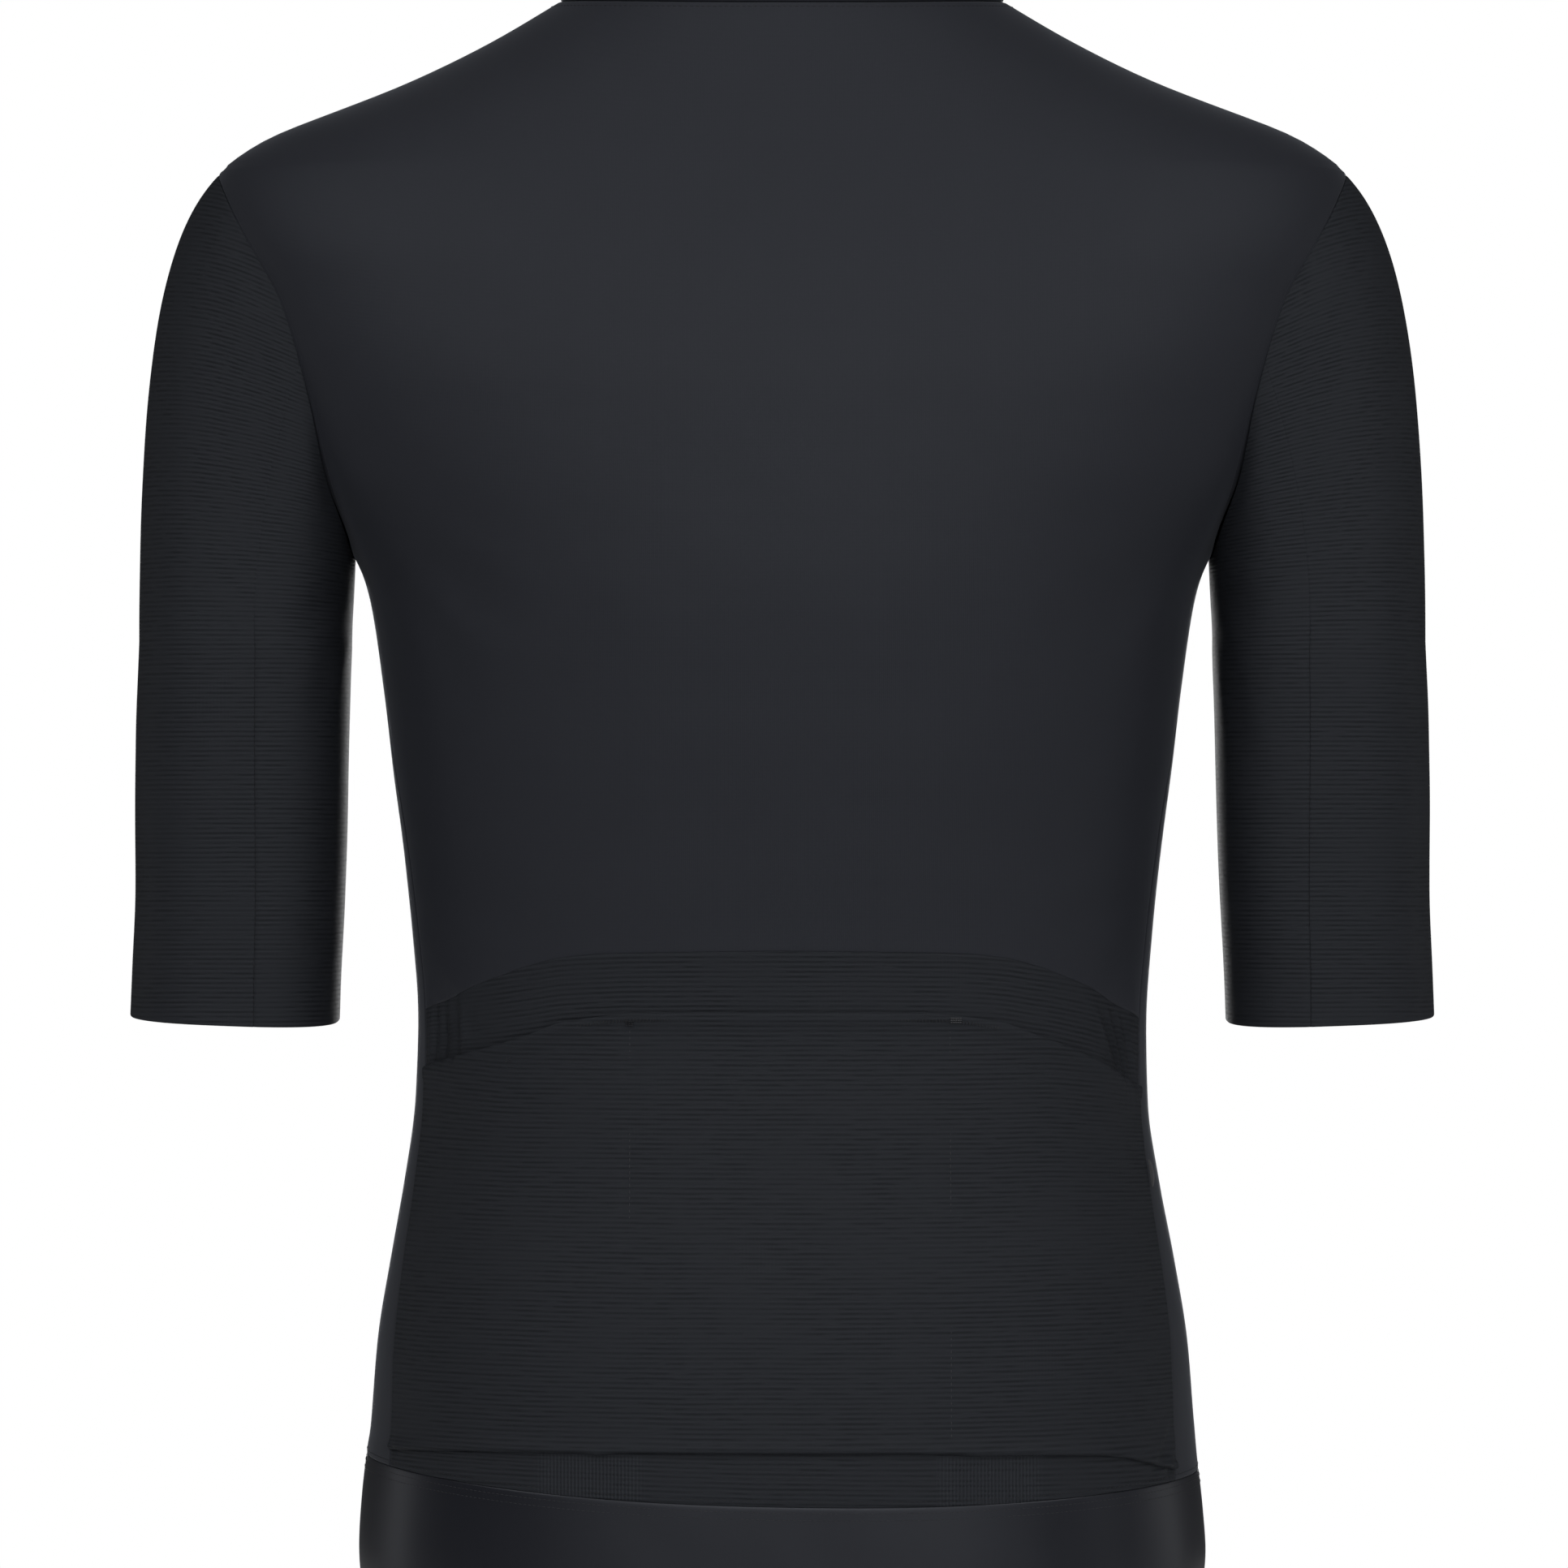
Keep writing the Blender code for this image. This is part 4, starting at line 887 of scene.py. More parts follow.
def wave(along, pitch):
    """A smooth wave from 0 to 1 along a length in metres."""
    return (calc("SINE", along * (2.0 * math.pi / pitch)) + 1.0) * 0.5


def ramp(value, low, high):
    """0 below low, 1 above high, and straight between."""
    share = (value - low) * (1.0 / (high - low))
    return calc("MAXIMUM", calc("MINIMUM", share, 1.0), 0.0)


class Recipe:
    """One material's nodes."""

    def __init__(self, name):
        self.material = bpy.data.materials.new(name + "_look")
        FINISHES[name] = self.material
        self.material.use_nodes = True
        self.material.node_tree.nodes.clear()
        self.surface = self.add("BsdfPrincipled")
        self.add("OutputMaterial", {"Surface": self.surface.outputs["BSDF"]})

    def add(self, kind, inputs=None, **settings):
        return add_node(self.material.node_tree, "ShaderNode" + kind, inputs, **settings)

    def cloth_map(self):
        """The cloth's map, and the metres round and up the cloth that it holds."""
        source = self.add("UVMap", uv_map="cloth").outputs[0]
        split = self.add("SeparateXYZ", {0: source}).outputs
        return source, Flow(split[0]), Flow(split[1])

    def own_place(self):
        return self.add("TexCoord").outputs["Object"]

    def noise(self, vector, scale, detail=2.0, stretch=(1.0, 1.0, 1.0)):
        place = self.add("Mapping", {"Vector": vector, "Scale": stretch}).outputs[0]
        return Flow(self.add("TexNoise", {"Vector": place, "Scale": scale, "Detail": detail}).outputs[0])

    def blend(self, share, dark, light):
        colours = {"Factor": share, 6: (*dark, 1.0), 7: (*light, 1.0)}
        return self.add("Mix", colours, data_type="RGBA").outputs[2]

    def bump(self, height, distance, strength, before=None):
        relief = {"Height": height, "Distance": distance, "Strength": strength, "Normal": before}
        return self.add("Bump", relief).outputs[0]

    def finish(self, colour, normal, **values):
        """Wires up the surface. An underscore in a value's name stands for a space."""
        feed(self.surface, {"Base Color": colour, "Normal": normal})
        feed(self.surface, {name.replace("_", " "): value for name, value in values.items()})


# %% [markdown]
# The smooth knit: wales 0.55 mm apart run up the cloth and courses 0.42 mm apart run across it, both far
# finer than a hand's width, so at arm's length only a soft, matt surface with a little sheen is left.
# %% Smooth knit
WALE_PITCH, COURSE_PITCH = 0.00055, 0.00042

knit = Recipe("smooth_knit")
flat_map, across, up = knit.cloth_map()
loops = wave(across, WALE_PITCH) * wave(up, COURSE_PITCH)
cloudy = knit.noise(flat_map, 34.0, 3.0)
heather = knit.noise(flat_map, 900.0)
colour = knit.blend(cloudy * 0.45 + heather * 0.55, (0.0182, 0.0192, 0.0245), (0.0230, 0.0243, 0.0308))
fine = knit.bump(loops, 0.00004, 0.5)
knit.finish(colour, knit.bump(cloudy, 0.0012, 0.15, fine), Roughness=0.56, Specular_IOR_Level=0.24,
            Specular_Tint=(0.86, 0.92, 1.0, 1.0), Sheen_Weight=0.14, Sheen_Roughness=0.35,
            Sheen_Tint=(0.75, 0.80, 0.90, 1.0))
print("smooth knit:", round(1 / WALE_PITCH / 1000, 1), "wales a millimetre")

# %% [markdown]
# The ribbed knit: a rib every 2 mm. Each rib is one course of raised stitches, and the tucked yarn breaks
# it into dashes, so a slow noise thins the ribs here and there, and faint upright wales cross them.
# %% Ribbed knit
RIB_PITCH, RIB_WALE = 0.0020, 0.0015
# On the cloth's map, in metres: where it is drawn so tight that its wales show, and where the puckers at the
# pocket's ends get painted shade
TIGHT_PLACES = (
    # across, up, half_wide, half_tall
    (0.079, -0.6105, 0.024, 0.0115),
    (-0.085, -0.6105, 0.024, 0.0115),
)
PUCKER_SHADE_PLACES = (
    (0.155, -0.430, 0.013, 0.018),
    (-0.157, -0.427, 0.013, 0.018),
)


def inside_places(across, up, table, soft_from):
    """1 inside the places of a table and 0 outside them, with a soft edge."""
    total = None
    for middle, level, half_wide, half_tall in table:
        aside = calc("ABSOLUTE", (across - middle) * (1.0 / half_wide))
        above = calc("ABSOLUTE", (up - level) * (1.0 / half_tall))
        inside = 1.0 - ramp(calc("MAXIMUM", aside, above), soft_from, 1.0)
        total = inside if total is None else calc("MAXIMUM", total, inside)
    return total


rib = Recipe("ribbed_knit")
flat_map, across, up = rib.cloth_map()
ribs = wave(up + rib.noise(flat_map, 22.0) * 0.0009, RIB_PITCH)
dashes = ramp(rib.noise(flat_map, 1.0, 2.0, (88.0, 500.0, 1.0)), 0.30, 0.60)
fading = ramp(rib.noise(flat_map, 30.0, 1.0), 0.32, 0.56)
lines = ((1.0 - ribs) ** 1.6 * 0.55 - ribs**2.2 * 0.26) * (dashes * (fading * 0.55 + 0.45))
tight = inside_places(across, up, TIGHT_PLACES, 0.55)
faint = ramp(rib.noise(flat_map, 26.0, 1.0), 0.60, 0.72) * 0.08
relief = 0.52 - lines + wave(across, RIB_WALE) ** 1.5 * (tight * 1.2 + faint)
grain = rib.noise(flat_map, 1500.0)
# Painted shade: the colour is darkened where the cloth puckers at the pocket's ends, in place of the shadow
# in those gathers
painted_pucker_shade = inside_places(across, up, PUCKER_SHADE_PLACES, 0.15) * 0.65
shade = (relief * 0.80 + grain * 0.20) * (1.0 - painted_pucker_shade)
# Partly the yarn's own tone and partly painted shade and highlight: the colour follows the rib relief, darker
# in the grooves and paler on the crests, as light falls on the ribs
colour = rib.blend(shade, (0.0080, 0.0089, 0.0110), (0.0258, 0.0277, 0.0332))
fine = rib.bump(grain, 0.00008, 0.5)
rib.finish(colour, rib.bump(relief, 0.00036, 0.8, fine), Roughness=0.64, Specular_IOR_Level=0.22,
           Specular_Tint=(0.86, 0.92, 1.0, 1.0), Sheen_Weight=0.01, Sheen_Roughness=0.4,
           Sheen_Tint=(0.72, 0.77, 0.88, 1.0))
print("ribbed knit: a rib every", RIB_PITCH * 1000, "mm")

# %% [markdown]
# The hem band is a satin elastic: smoother than the knit, faintly blue, with close upright cords. Its gloss
# is what tells it from the cloth above, dark where it faces a dark part of the room and pale where it faces
# a lamp.
# %% Elastic band
CORD_PITCH = 0.0009

band = Recipe("elastic_band")
flat_map, across, up = band.cloth_map()
grain = band.noise(flat_map, 1.0, 2.0, (900.0, 150.0, 1.0))
relief = wave(across, CORD_PITCH) * 0.6 + grain * 0.4
colour = band.blend(band.noise(flat_map, 40.0), (0.0044, 0.0048, 0.0080), (0.0066, 0.0071, 0.0115))
band.finish(colour, band.bump(relief, 0.00002, 0.3), Roughness=0.38, Specular_IOR_Level=0.52,
            Specular_Tint=(0.88, 0.92, 1.0, 1.0), Sheen_Weight=0.02, Sheen_Roughness=0.35,
            Sheen_Tint=(0.75, 0.80, 0.92, 1.0))
print("elastic band: a cord every", CORD_PITCH * 1000, "mm")

# %% [markdown]
# Threads, zip and tab: the thread is a smooth filament a little paler than the cloth, the zip's tape is a
# close twill, its coil a moulded gloss filament, the slider painted metal with worn edges, and the side tab
# pale tape.
# %% Thread, zip and tape
def plain_yarn(name, dark, light, rough, scale=2600.0):
    yarn = Recipe(name)
    grain = yarn.noise(yarn.own_place(), scale)
    yarn.finish(yarn.blend(grain, dark, light), yarn.bump(grain, 0.00004, 0.5), Roughness=rough,
                Specular_IOR_Level=0.35)


plain_yarn("sewing_thread", (0.020, 0.021, 0.025), (0.040, 0.041, 0.047), 0.55)
plain_yarn("dark_thread", (0.008, 0.008, 0.010), (0.018, 0.018, 0.021), 0.60)
plain_yarn("pale_thread", (0.045, 0.046, 0.050), (0.085, 0.086, 0.091), 0.60)
plain_yarn("zip_coil", (0.011, 0.011, 0.012), (0.022, 0.022, 0.024), 0.32, 700.0)

tape = Recipe("zip_tape_cloth")
_, across, up = tape.cloth_map()
twill = wave(across + up, 0.0009) * wave(across, 0.0006)
tape.finish(tape.blend(twill, (0.008, 0.008, 0.010), (0.020, 0.020, 0.023)), tape.bump(twill, 0.00015, 0.8),
            Roughness=0.75, Specular_IOR_Level=0.25)

pale = Recipe("pale_tape")
_, across, up = pale.cloth_map()
weave = wave(across, 0.0006) * wave(up, 0.0006)
pale.finish(pale.blend(weave, (0.058, 0.058, 0.062), (0.092, 0.092, 0.097)), pale.bump(weave, 0.0001, 0.8),
            Roughness=0.62, Specular_IOR_Level=0.3)

metal = Recipe("zip_metal")
scratches = metal.noise(metal.own_place(), 800.0, 3.0, (1.0, 1.0, 0.25))
edge = Flow(metal.add("NewGeometry").outputs["Pointiness"])
worn = ramp(edge, 0.52, 0.52 + 1.0 / 6.0) * scratches
colour = metal.blend(worn, (0.020, 0.020, 0.023), (0.20, 0.20, 0.21))
metal.finish(colour, metal.bump(scratches, 0.00005, 0.4), Roughness=scratches * 0.2 + 0.25, Metallic=0.85)
print(len(FINISHES), "finishes")

# %% [markdown]
# ## Cut and sew
# The largest cloth first: the upper back, from the bowed seam to the neck and over the shoulder line to a
# seam just in front of it. All four of its edges are sewn, so all four roll under.
# %% Upper back
# How deep an edge rolls under at a firm seam, a soft seam and the bowed seam
SIDE_ROLL, SOFT_ROLL, BOWED_ROLL = 0.75, 0.45, 0.22


def upper_back_shape(near, angles, levels):
    """The trough along both armholes."""
    return armhole_dip(near["first"], levels) + armhole_dip(near["last"], levels)


angles, levels = upper_grid()
back_upper = body_cloth("back_upper_cloth", angles, levels,
                        {"first": SOFT_ROLL, "last": SOFT_ROLL, "foot": BOWED_ROLL, "top": SIDE_ROLL},
                        extra=upper_back_shape)
put_finish(back_upper, "smooth_knit")
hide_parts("back_upper")
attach(back_upper, "jersey")

# %% [markdown]
# The lower back is ribbed. It runs on behind the pockets, so that the pockets have a back wall.
# %% Lower back
shares = lower_shares()
lower_angles, lower_levels = lower_grid(shares)
above_pockets = np.clip(shares - 1.0, 0.0, 1.0)[:, None]
mouth_bow = pocket_mouth(np.abs(lower_angles)) - pocket_mouth(np.zeros(1))
back_lower = body_cloth("back_lower_cloth", lower_angles, lower_levels,
                        {"first": SOFT_ROLL, "last": SOFT_ROLL, "foot": SOFT_ROLL, "top": BOWED_ROLL},
                        bow=0.4 * mouth_bow * above_pockets)
put_finish(back_lower, "ribbed_knit")
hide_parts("back_lower")
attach(back_lower, "jersey")

# %% [markdown]
# The pocket cloth is one piece stitched into three pockets. Its mouth is a narrow turned binding that
# stands a little proud between the two dividing seams, and its foot is folded under, so it ends in a soft
# lip with a dark line beneath it. The dividing seams pull the cloth down into two fine upright grooves.
# %% Pocket cloth
POCKET_LIFT = LAYER_GAP + POCKET_WALL
DIVIDER_LEFT_X, DIVIDER_RIGHT_X = 61.8, -68.1
# How far the binding and the lip stand out, how deep a dividing seam pulls, and how far the mouth opens
BINDING_STANDS, LIP_STANDS, DIVIDER_DEEP, MOUTH_OPENS = 0.55, 1.1, 0.45, 0.9
# The folded foot is pressed by hand, so its line wanders by a millimetre and drops at its right end: angles
# and how far the line moves up there
FOOT_WANDERS = [
    (-66.5, -3.4), (-60, -1.9), (-52, 0.2), (-46, 0.8), (-33, 0.3), (-24.2, -0.3), (-15, 0.1),
    (0, -0.2), (12, 0), (19.5, 0.2), (22, -0.7), (25, 0.3), (34, 0.7), (46, 1), (58, 0.2), (66.5, -0.4),
]


def divider_angle(x, height):
    """The angles, at these heights, of points on the back this far from the middle."""
    return angle_at_x(np.broadcast_to(x, np.shape(height)), height, False)


def pocket_shape(near, angles, levels):
    """What the mouth, the folded foot and the dividing seams add to the pocket cloth's lift."""
    binding = BINDING_STANDS * np.clip(1.0 - ((near["top"] - 2.4) / 2.6) ** 4, 0.0, 1.0)
    lip = LIP_STANDS * np.exp(-((near["foot"] - 1.4) / 2.6) ** 2) + roll(near["foot"], 1.5, 1.5)
    pulled = np.zeros(angles.shape)
    swell = np.ones(angles.shape)
    for x in (DIVIDER_LEFT_X, DIVIDER_RIGHT_X):
        aside = np.abs(body_point(angles, levels)[..., 0] - x)
        pulled -= DIVIDER_DEEP * np.exp(-((aside / 1.1) ** 2))
        swell *= 1.0 - np.exp(-((aside / 16.0) ** 2))
    to_sides = np.clip(np.minimum(near["first"], near["last"]) / 30.0, 0.0, 1.0)
    open_mouth = MOUTH_OPENS * swell * to_sides * np.exp(-((near["top"] / 9.0) ** 2))
    return binding + lip + pulled + open_mouth


pocket_rows = (shares >= 1.0) & (shares <= 2.0)
pocket_angles, pocket_levels = lower_angles[pocket_rows], lower_levels[pocket_rows]
foot_fade = np.exp(-(pocket_levels - pocket_levels[:1]) / 14.0)
pocket_levels = pocket_levels + np.interp(pocket_angles[:1], *zip(*FOOT_WANDERS)) * foot_fade
pocket = body_cloth("pocket_cloth", pocket_angles, pocket_levels,
                    {"first": SIDE_ROLL, "last": SIDE_ROLL}, POCKET_LIFT, 0.9, pocket_shape)
put_finish(pocket, "ribbed_knit")
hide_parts("pocket_panel")
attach(pocket, "jersey")

# %% [markdown]
# Each front cloth goes round the side to the seam at the back's edge. Its edge along the zip is turned, not
# sewn to another cloth, so it stays flat there.
# %% Fronts
angles, levels = front_grid()
for side, which in SIDES:
    front = body_cloth("front_" + which + "_cloth", side * angles, levels,
                       {"first": SOFT_ROLL, "foot": SOFT_ROLL, "top": SIDE_ROLL},
                       extra=lambda near, angles, levels: armhole_dip(near["first"], levels))
    put_finish(front, "smooth_knit")
    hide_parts("front_" + which)
    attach(front, "jersey")

# %% [markdown]
# The hem band is one strip all round, from zip edge to zip edge. Its lower edge is folded, so it is rounded
# rather than rolled, and its upper edge is sewn to the cloths above.
# %% Hem band
front_end = float(zip_edge_angle(band_top(180.0)))
band_angles = spread(-front_end, front_end, 0.9, "none")[None, :]
band_drops = spread(SEWN_GAP / 2, BAND_DEEP, 2.4)[::-1][:, None]
band_levels = band_top(band_angles) - band_drops
band_angles = np.repeat(band_angles, len(band_drops), axis=0)
ends = zip_edge_angle(band_levels[:, 0])
band_angles = band_angles * (ends / front_end)[:, None]


RIPPLE = 0.10


def band_shape(near, angles, levels):
    """The band's folded foot, and the faint ripple of elastic that holds the hem in."""
    ripple = RIPPLE * np.sin(near["first"] / 7.3) * np.sin(near["first"] / 23.0 + 1.0)
    return roll(near["foot"], 0.5, 1.2) + ripple * np.clip(near["top"] / 20.0, 0.0, 1.0)


hem = body_cloth("hem_band_cloth", band_angles, band_levels, {"top": 0.16}, 0.0, 1.3, band_shape)
put_finish(hem, "elastic_band")
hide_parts("hem_band")
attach(hem, "jersey")

# %% [markdown]
# ## Sleeves
# A sleeve is a tube whose first column is its closing seam, down the back of the arm, where both edges roll
# under. Its top is sewn into the armhole. Its hem is cut clean and bonded, so it only rounds over.
# %% Sleeves
# Lengths of the cap and of the arm below it, which say how many rows each gets
CAP_LONG, ARM_LONG = 120.0, 156.0
cap_rows = spread_shares(CAP_LONG, 2.8, "start")
arm_rows = 1.0 + spread_shares(ARM_LONG, 2.8, "stop")
sleeve_downs = np.concatenate([cap_rows, arm_rows[1:]])[::-1]
sleeve_offsets = spread(0.0, 360.0, 3.6)[:-1]

# How steeply the ribs of the cap fall outwards at each height, and over what length they level out
RIB_TILT = [(-275.0, 0.0), (-240.0, 0.08), (-218.0, 0.18), (-194.0, 0.32), (-167.0, 0.45), (-135.0, 0.58)]
ARM_OUTER_X, RIB_TILT_REACH = 266.0, 65.0
# How deep the closing seam lies at each `down`
CLOSING_DEEP = [(0.0, 0.06), (0.75, 0.10), (1.05, 0.30), (2.0, 0.36)]


def sewn_sleeve(name, side, folds):
    mirror = np.array([side, 1.0, 1.0])
    downs = np.repeat(sleeve_downs[:, None], len(sleeve_offsets), axis=1)
    turns = closing_turn(downs) + sleeve_offsets[None, :]
    face, away = sleeve_point(turns, downs), sleeve_normal(turns, downs)
    ahead = unit(sleeve_point(turns[-1], 0.04) - face[-1])
    _, angle, height = armhole_point(turns[-1])
    under = np.sin(np.radians(turns[-1]) / 2)[:, None] ** 2
    face[-1] = face[-1] + SEWN_GAP * ahead + 0.2 * under * body_normal(angle, height)
    near = edge_distances(face)
    around = np.concatenate([near["first"], near["first"][:, -1:] + 2.0], axis=1)
    seam_gap = np.minimum(near["first"], np.abs(around[:, -1:] - near["first"]))
    moved = fold_depth(face, folds) + hang(face * mirror)
    moved += roll(near["top"], SOFT_ROLL) + roll(near["foot"], 0.4, 0.9)
    moved += armhole_dip(near["top"], face[-1:, :, 2])
    ridge = 0.4 * np.exp(-(((seam_gap - 3.0) / 1.6) ** 2))
    moved -= np.interp(downs, *zip(*CLOSING_DEEP)) * (np.exp(-((seam_gap / 0.8) ** 2)) - ridge)
    outer = face + moved[..., None] * away
    inner = outer - KNIT * away
    closed = np.concatenate([face, face[:, :1]], axis=1)
    tilt = np.interp(closed[..., 2], *zip(*RIB_TILT))
    inwards = np.clip(ARM_OUTER_X - closed[..., 0], 0.0, 90.0)
    up = closed[..., 2] + tilt * inwards**2 / (2.0 * RIB_TILT_REACH)
    sleeve = lay_cloth(name, outer * mirror, inner * mirror, side * around, up, tube=True)
    print(name, "area", round(skin_area(outer), 4), "m2,", len(sleeve.data.polygons), "faces")
    return sleeve


for side, which, folds in ((1.0, "left", left_folds), (-1.0, "right", right_folds)):
    sleeve = sewn_sleeve("sleeve_" + which + "_cloth", side, folds)
    put_finish(sleeve, "ribbed_knit")
    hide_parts("sleeve_" + which)
    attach(sleeve, "jersey")

# %% [markdown]
# ## Collar
# The collar is a low band that stands up from the neck seam and leans in a little. It is folded at the top,
# so it is twice as thick as the body's knit and its edge is round.
# %% Collar
def neck_seam():
    """The points of the cloths below the neck seam, from the zip round the right side and the back."""
    angles, levels = upper_grid()
    behind = body_point(angles[-1, 1:-1], levels[-1, 1:-1])
    angles, levels = front_grid()
    shoulder = body_point(SHOULDER_SEAM_ANGLE, NECK_SIDE_Z)[None, :]
    left = np.concatenate([shoulder, body_point(angles[-1, 1:], levels[-1, 1:])])
    right = left[::-1] * np.array([-1.0, 1.0, 1.0])
    return np.concatenate([right, behind, left])


def collar_point(foot, share):
    """A point up the collar's stand from a point of the neck seam."""
    back = np.clip(0.5 + foot[..., 1] / 120.0, 0.0, 1.0)
    stand = COLLAR_STAND_FRONT + (COLLAR_STAND_BACK - COLLAR_STAND_FRONT) * back
    shift = COLLAR_BACK_FRONT + (-COLLAR_FORWARD_BACK - COLLAR_BACK_FRONT) * back
    width = 1.0 - (1.0 - COLLAR_NARROWS) * share * np.clip(np.abs(foot[..., 0]) / 30.0, 0.0, 1.0)
    x = foot[..., 0] * width
    y = foot[..., 1] * (1.0 - (1.0 - COLLAR_NARROWS) * share) + shift * share
    return np.stack([x, y, foot[..., 2] + stand * share], axis=-1)


def grid_normals(points):
    across = np.gradient(points, axis=1)
    up = np.gradient(points, axis=0)
    return unit(np.cross(across, up))


COLLAR_THICK = 1.4
collar_foot = neck_seam()


def collar_grid(shares):
    """Rows of the collar's points at these shares of its stand, and the directions out."""
    face = np.array([collar_point(collar_foot, float(share)) for share in shares])
    away = grid_normals(face)
    return face, away * np.sign((away[..., 1] * face[..., 1]).sum())


face, away = collar_grid(spread(0.15, COLLAR_STAND_BACK, 2.2) / COLLAR_STAND_BACK)
near = edge_distances(face)
moved = roll(near["foot"], 0.6, 1.4) + roll(near["top"], 0.7, 0.9) + 0.5 * hang(face)
outer = face + moved[..., None] * away
inner = face - (COLLAR_THICK + roll(near["top"], 0.6, 0.9))[..., None] * away
collar = lay_cloth("collar_cloth", outer, inner, near["first"], near["foot"])
put_finish(collar, "smooth_knit")
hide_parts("collar")
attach(collar, "jersey")
print("collar area", round(skin_area(outer), 4), "m2")

# %% [markdown]
# A soft tape covers the neck seam inside, so the wearer's skin never meets the overlock. It bridges the
# slit between the collar and the cloths below.
# %% Neck tape
TAPE_LOW, TAPE_HIGH, TAPE_ROWS, TAPE_THICK = -3.8, 3.4, 7, 0.5
face, away = collar_grid(np.linspace(TAPE_LOW, TAPE_HIGH, TAPE_ROWS) / COLLAR_STAND_BACK)
bow = 0.3 * (np.linspace(-1.0, 1.0, TAPE_ROWS)[:, None] ** 2)
outer = face - (COLLAR_THICK + 0.15 + bow)[..., None] * away
near = edge_distances(outer)
neck_tape = lay_cloth("neck_tape", outer, outer - TAPE_THICK * away, near["first"], near["foot"])
put_finish(neck_tape, "zip_tape_cloth")
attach(neck_tape, "jersey")
print("neck tape", round(float(near["first"].max())), "mm long")

# %% [markdown]
# ## Zip
# A fine coil zip: two woven tapes lie behind the edges of the fronts, and each carries a row of filament
# loops that mesh in the middle. The tapes are shells like the cloth.
# %% Zip tapes
ZIP_TAPE_THICK = 0.6


def neck_foot(x):
    """The point of the front neck seam this far from the middle."""
    reach = max(abs(x), ZIP_EDGE_X)
    level = float(neck_z(reach))
    point = body_point(zip_edge_angle(level, reach), level)
    point[0] = x
    return point


def zip_line(heights, x):
    """Points of the front x from its middle at these heights, and up the collar above the neck seam."""
    on_body = heights[heights <= NECK_FRONT_Z]
    foot = neck_foot(x)
    shares = (heights[heights > NECK_FRONT_Z] - NECK_FRONT_Z) / COLLAR_STAND_FRONT
    on_collar = np.array([collar_point(foot, share) for share in shares]).reshape(-1, 3)
    return np.concatenate([body_point(np.sign(x) * zip_edge_angle(on_body, abs(x)), on_body), on_collar])


def zip_heights(top):
    low = float(band_top(180.0)) - BAND_DEEP + 1.0
    return np.concatenate([np.linspace(low, NECK_FRONT_Z, 26), np.linspace(NECK_FRONT_Z, top, 4)[1:]])


def forward_normals(points):
    """The directions out of a grid on the front."""
    away = grid_normals(points)
    return away * np.where(away[..., 1:2] > 0, -1.0, 1.0)


def zip_strip(name, xs, heights, high, low):
    """A strip up the front's middle. high and low are how far its two faces stand out of the cloth's face."""
    points = np.stack([zip_line(heights, x) for x in xs], axis=1)
    away = forward_normals(points)
    near = edge_distances(points)
    return lay_cloth(name, points + high * away, points + low * away, near["first"], near["foot"])


collar_top = NECK_FRONT_Z + COLLAR_STAND_FRONT
tape_heights = zip_heights(collar_top - 1.0)
for side, which in SIDES:
    xs = side * spread(TAPE_FROM_X, TAPE_TO_X, 1.6, "none")
    name = "zip_tape_" + which + "_cloth"
    tape_piece = zip_strip(name, xs, tape_heights, -TAPE_DEEP, -TAPE_DEEP - ZIP_TAPE_THICK)
    put_finish(tape_piece, "zip_tape_cloth")
    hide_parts("zip_tape_" + which)
    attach(tape_piece, "jersey")
print("tapes end at", round(tape_heights[-1], 1), "mm")

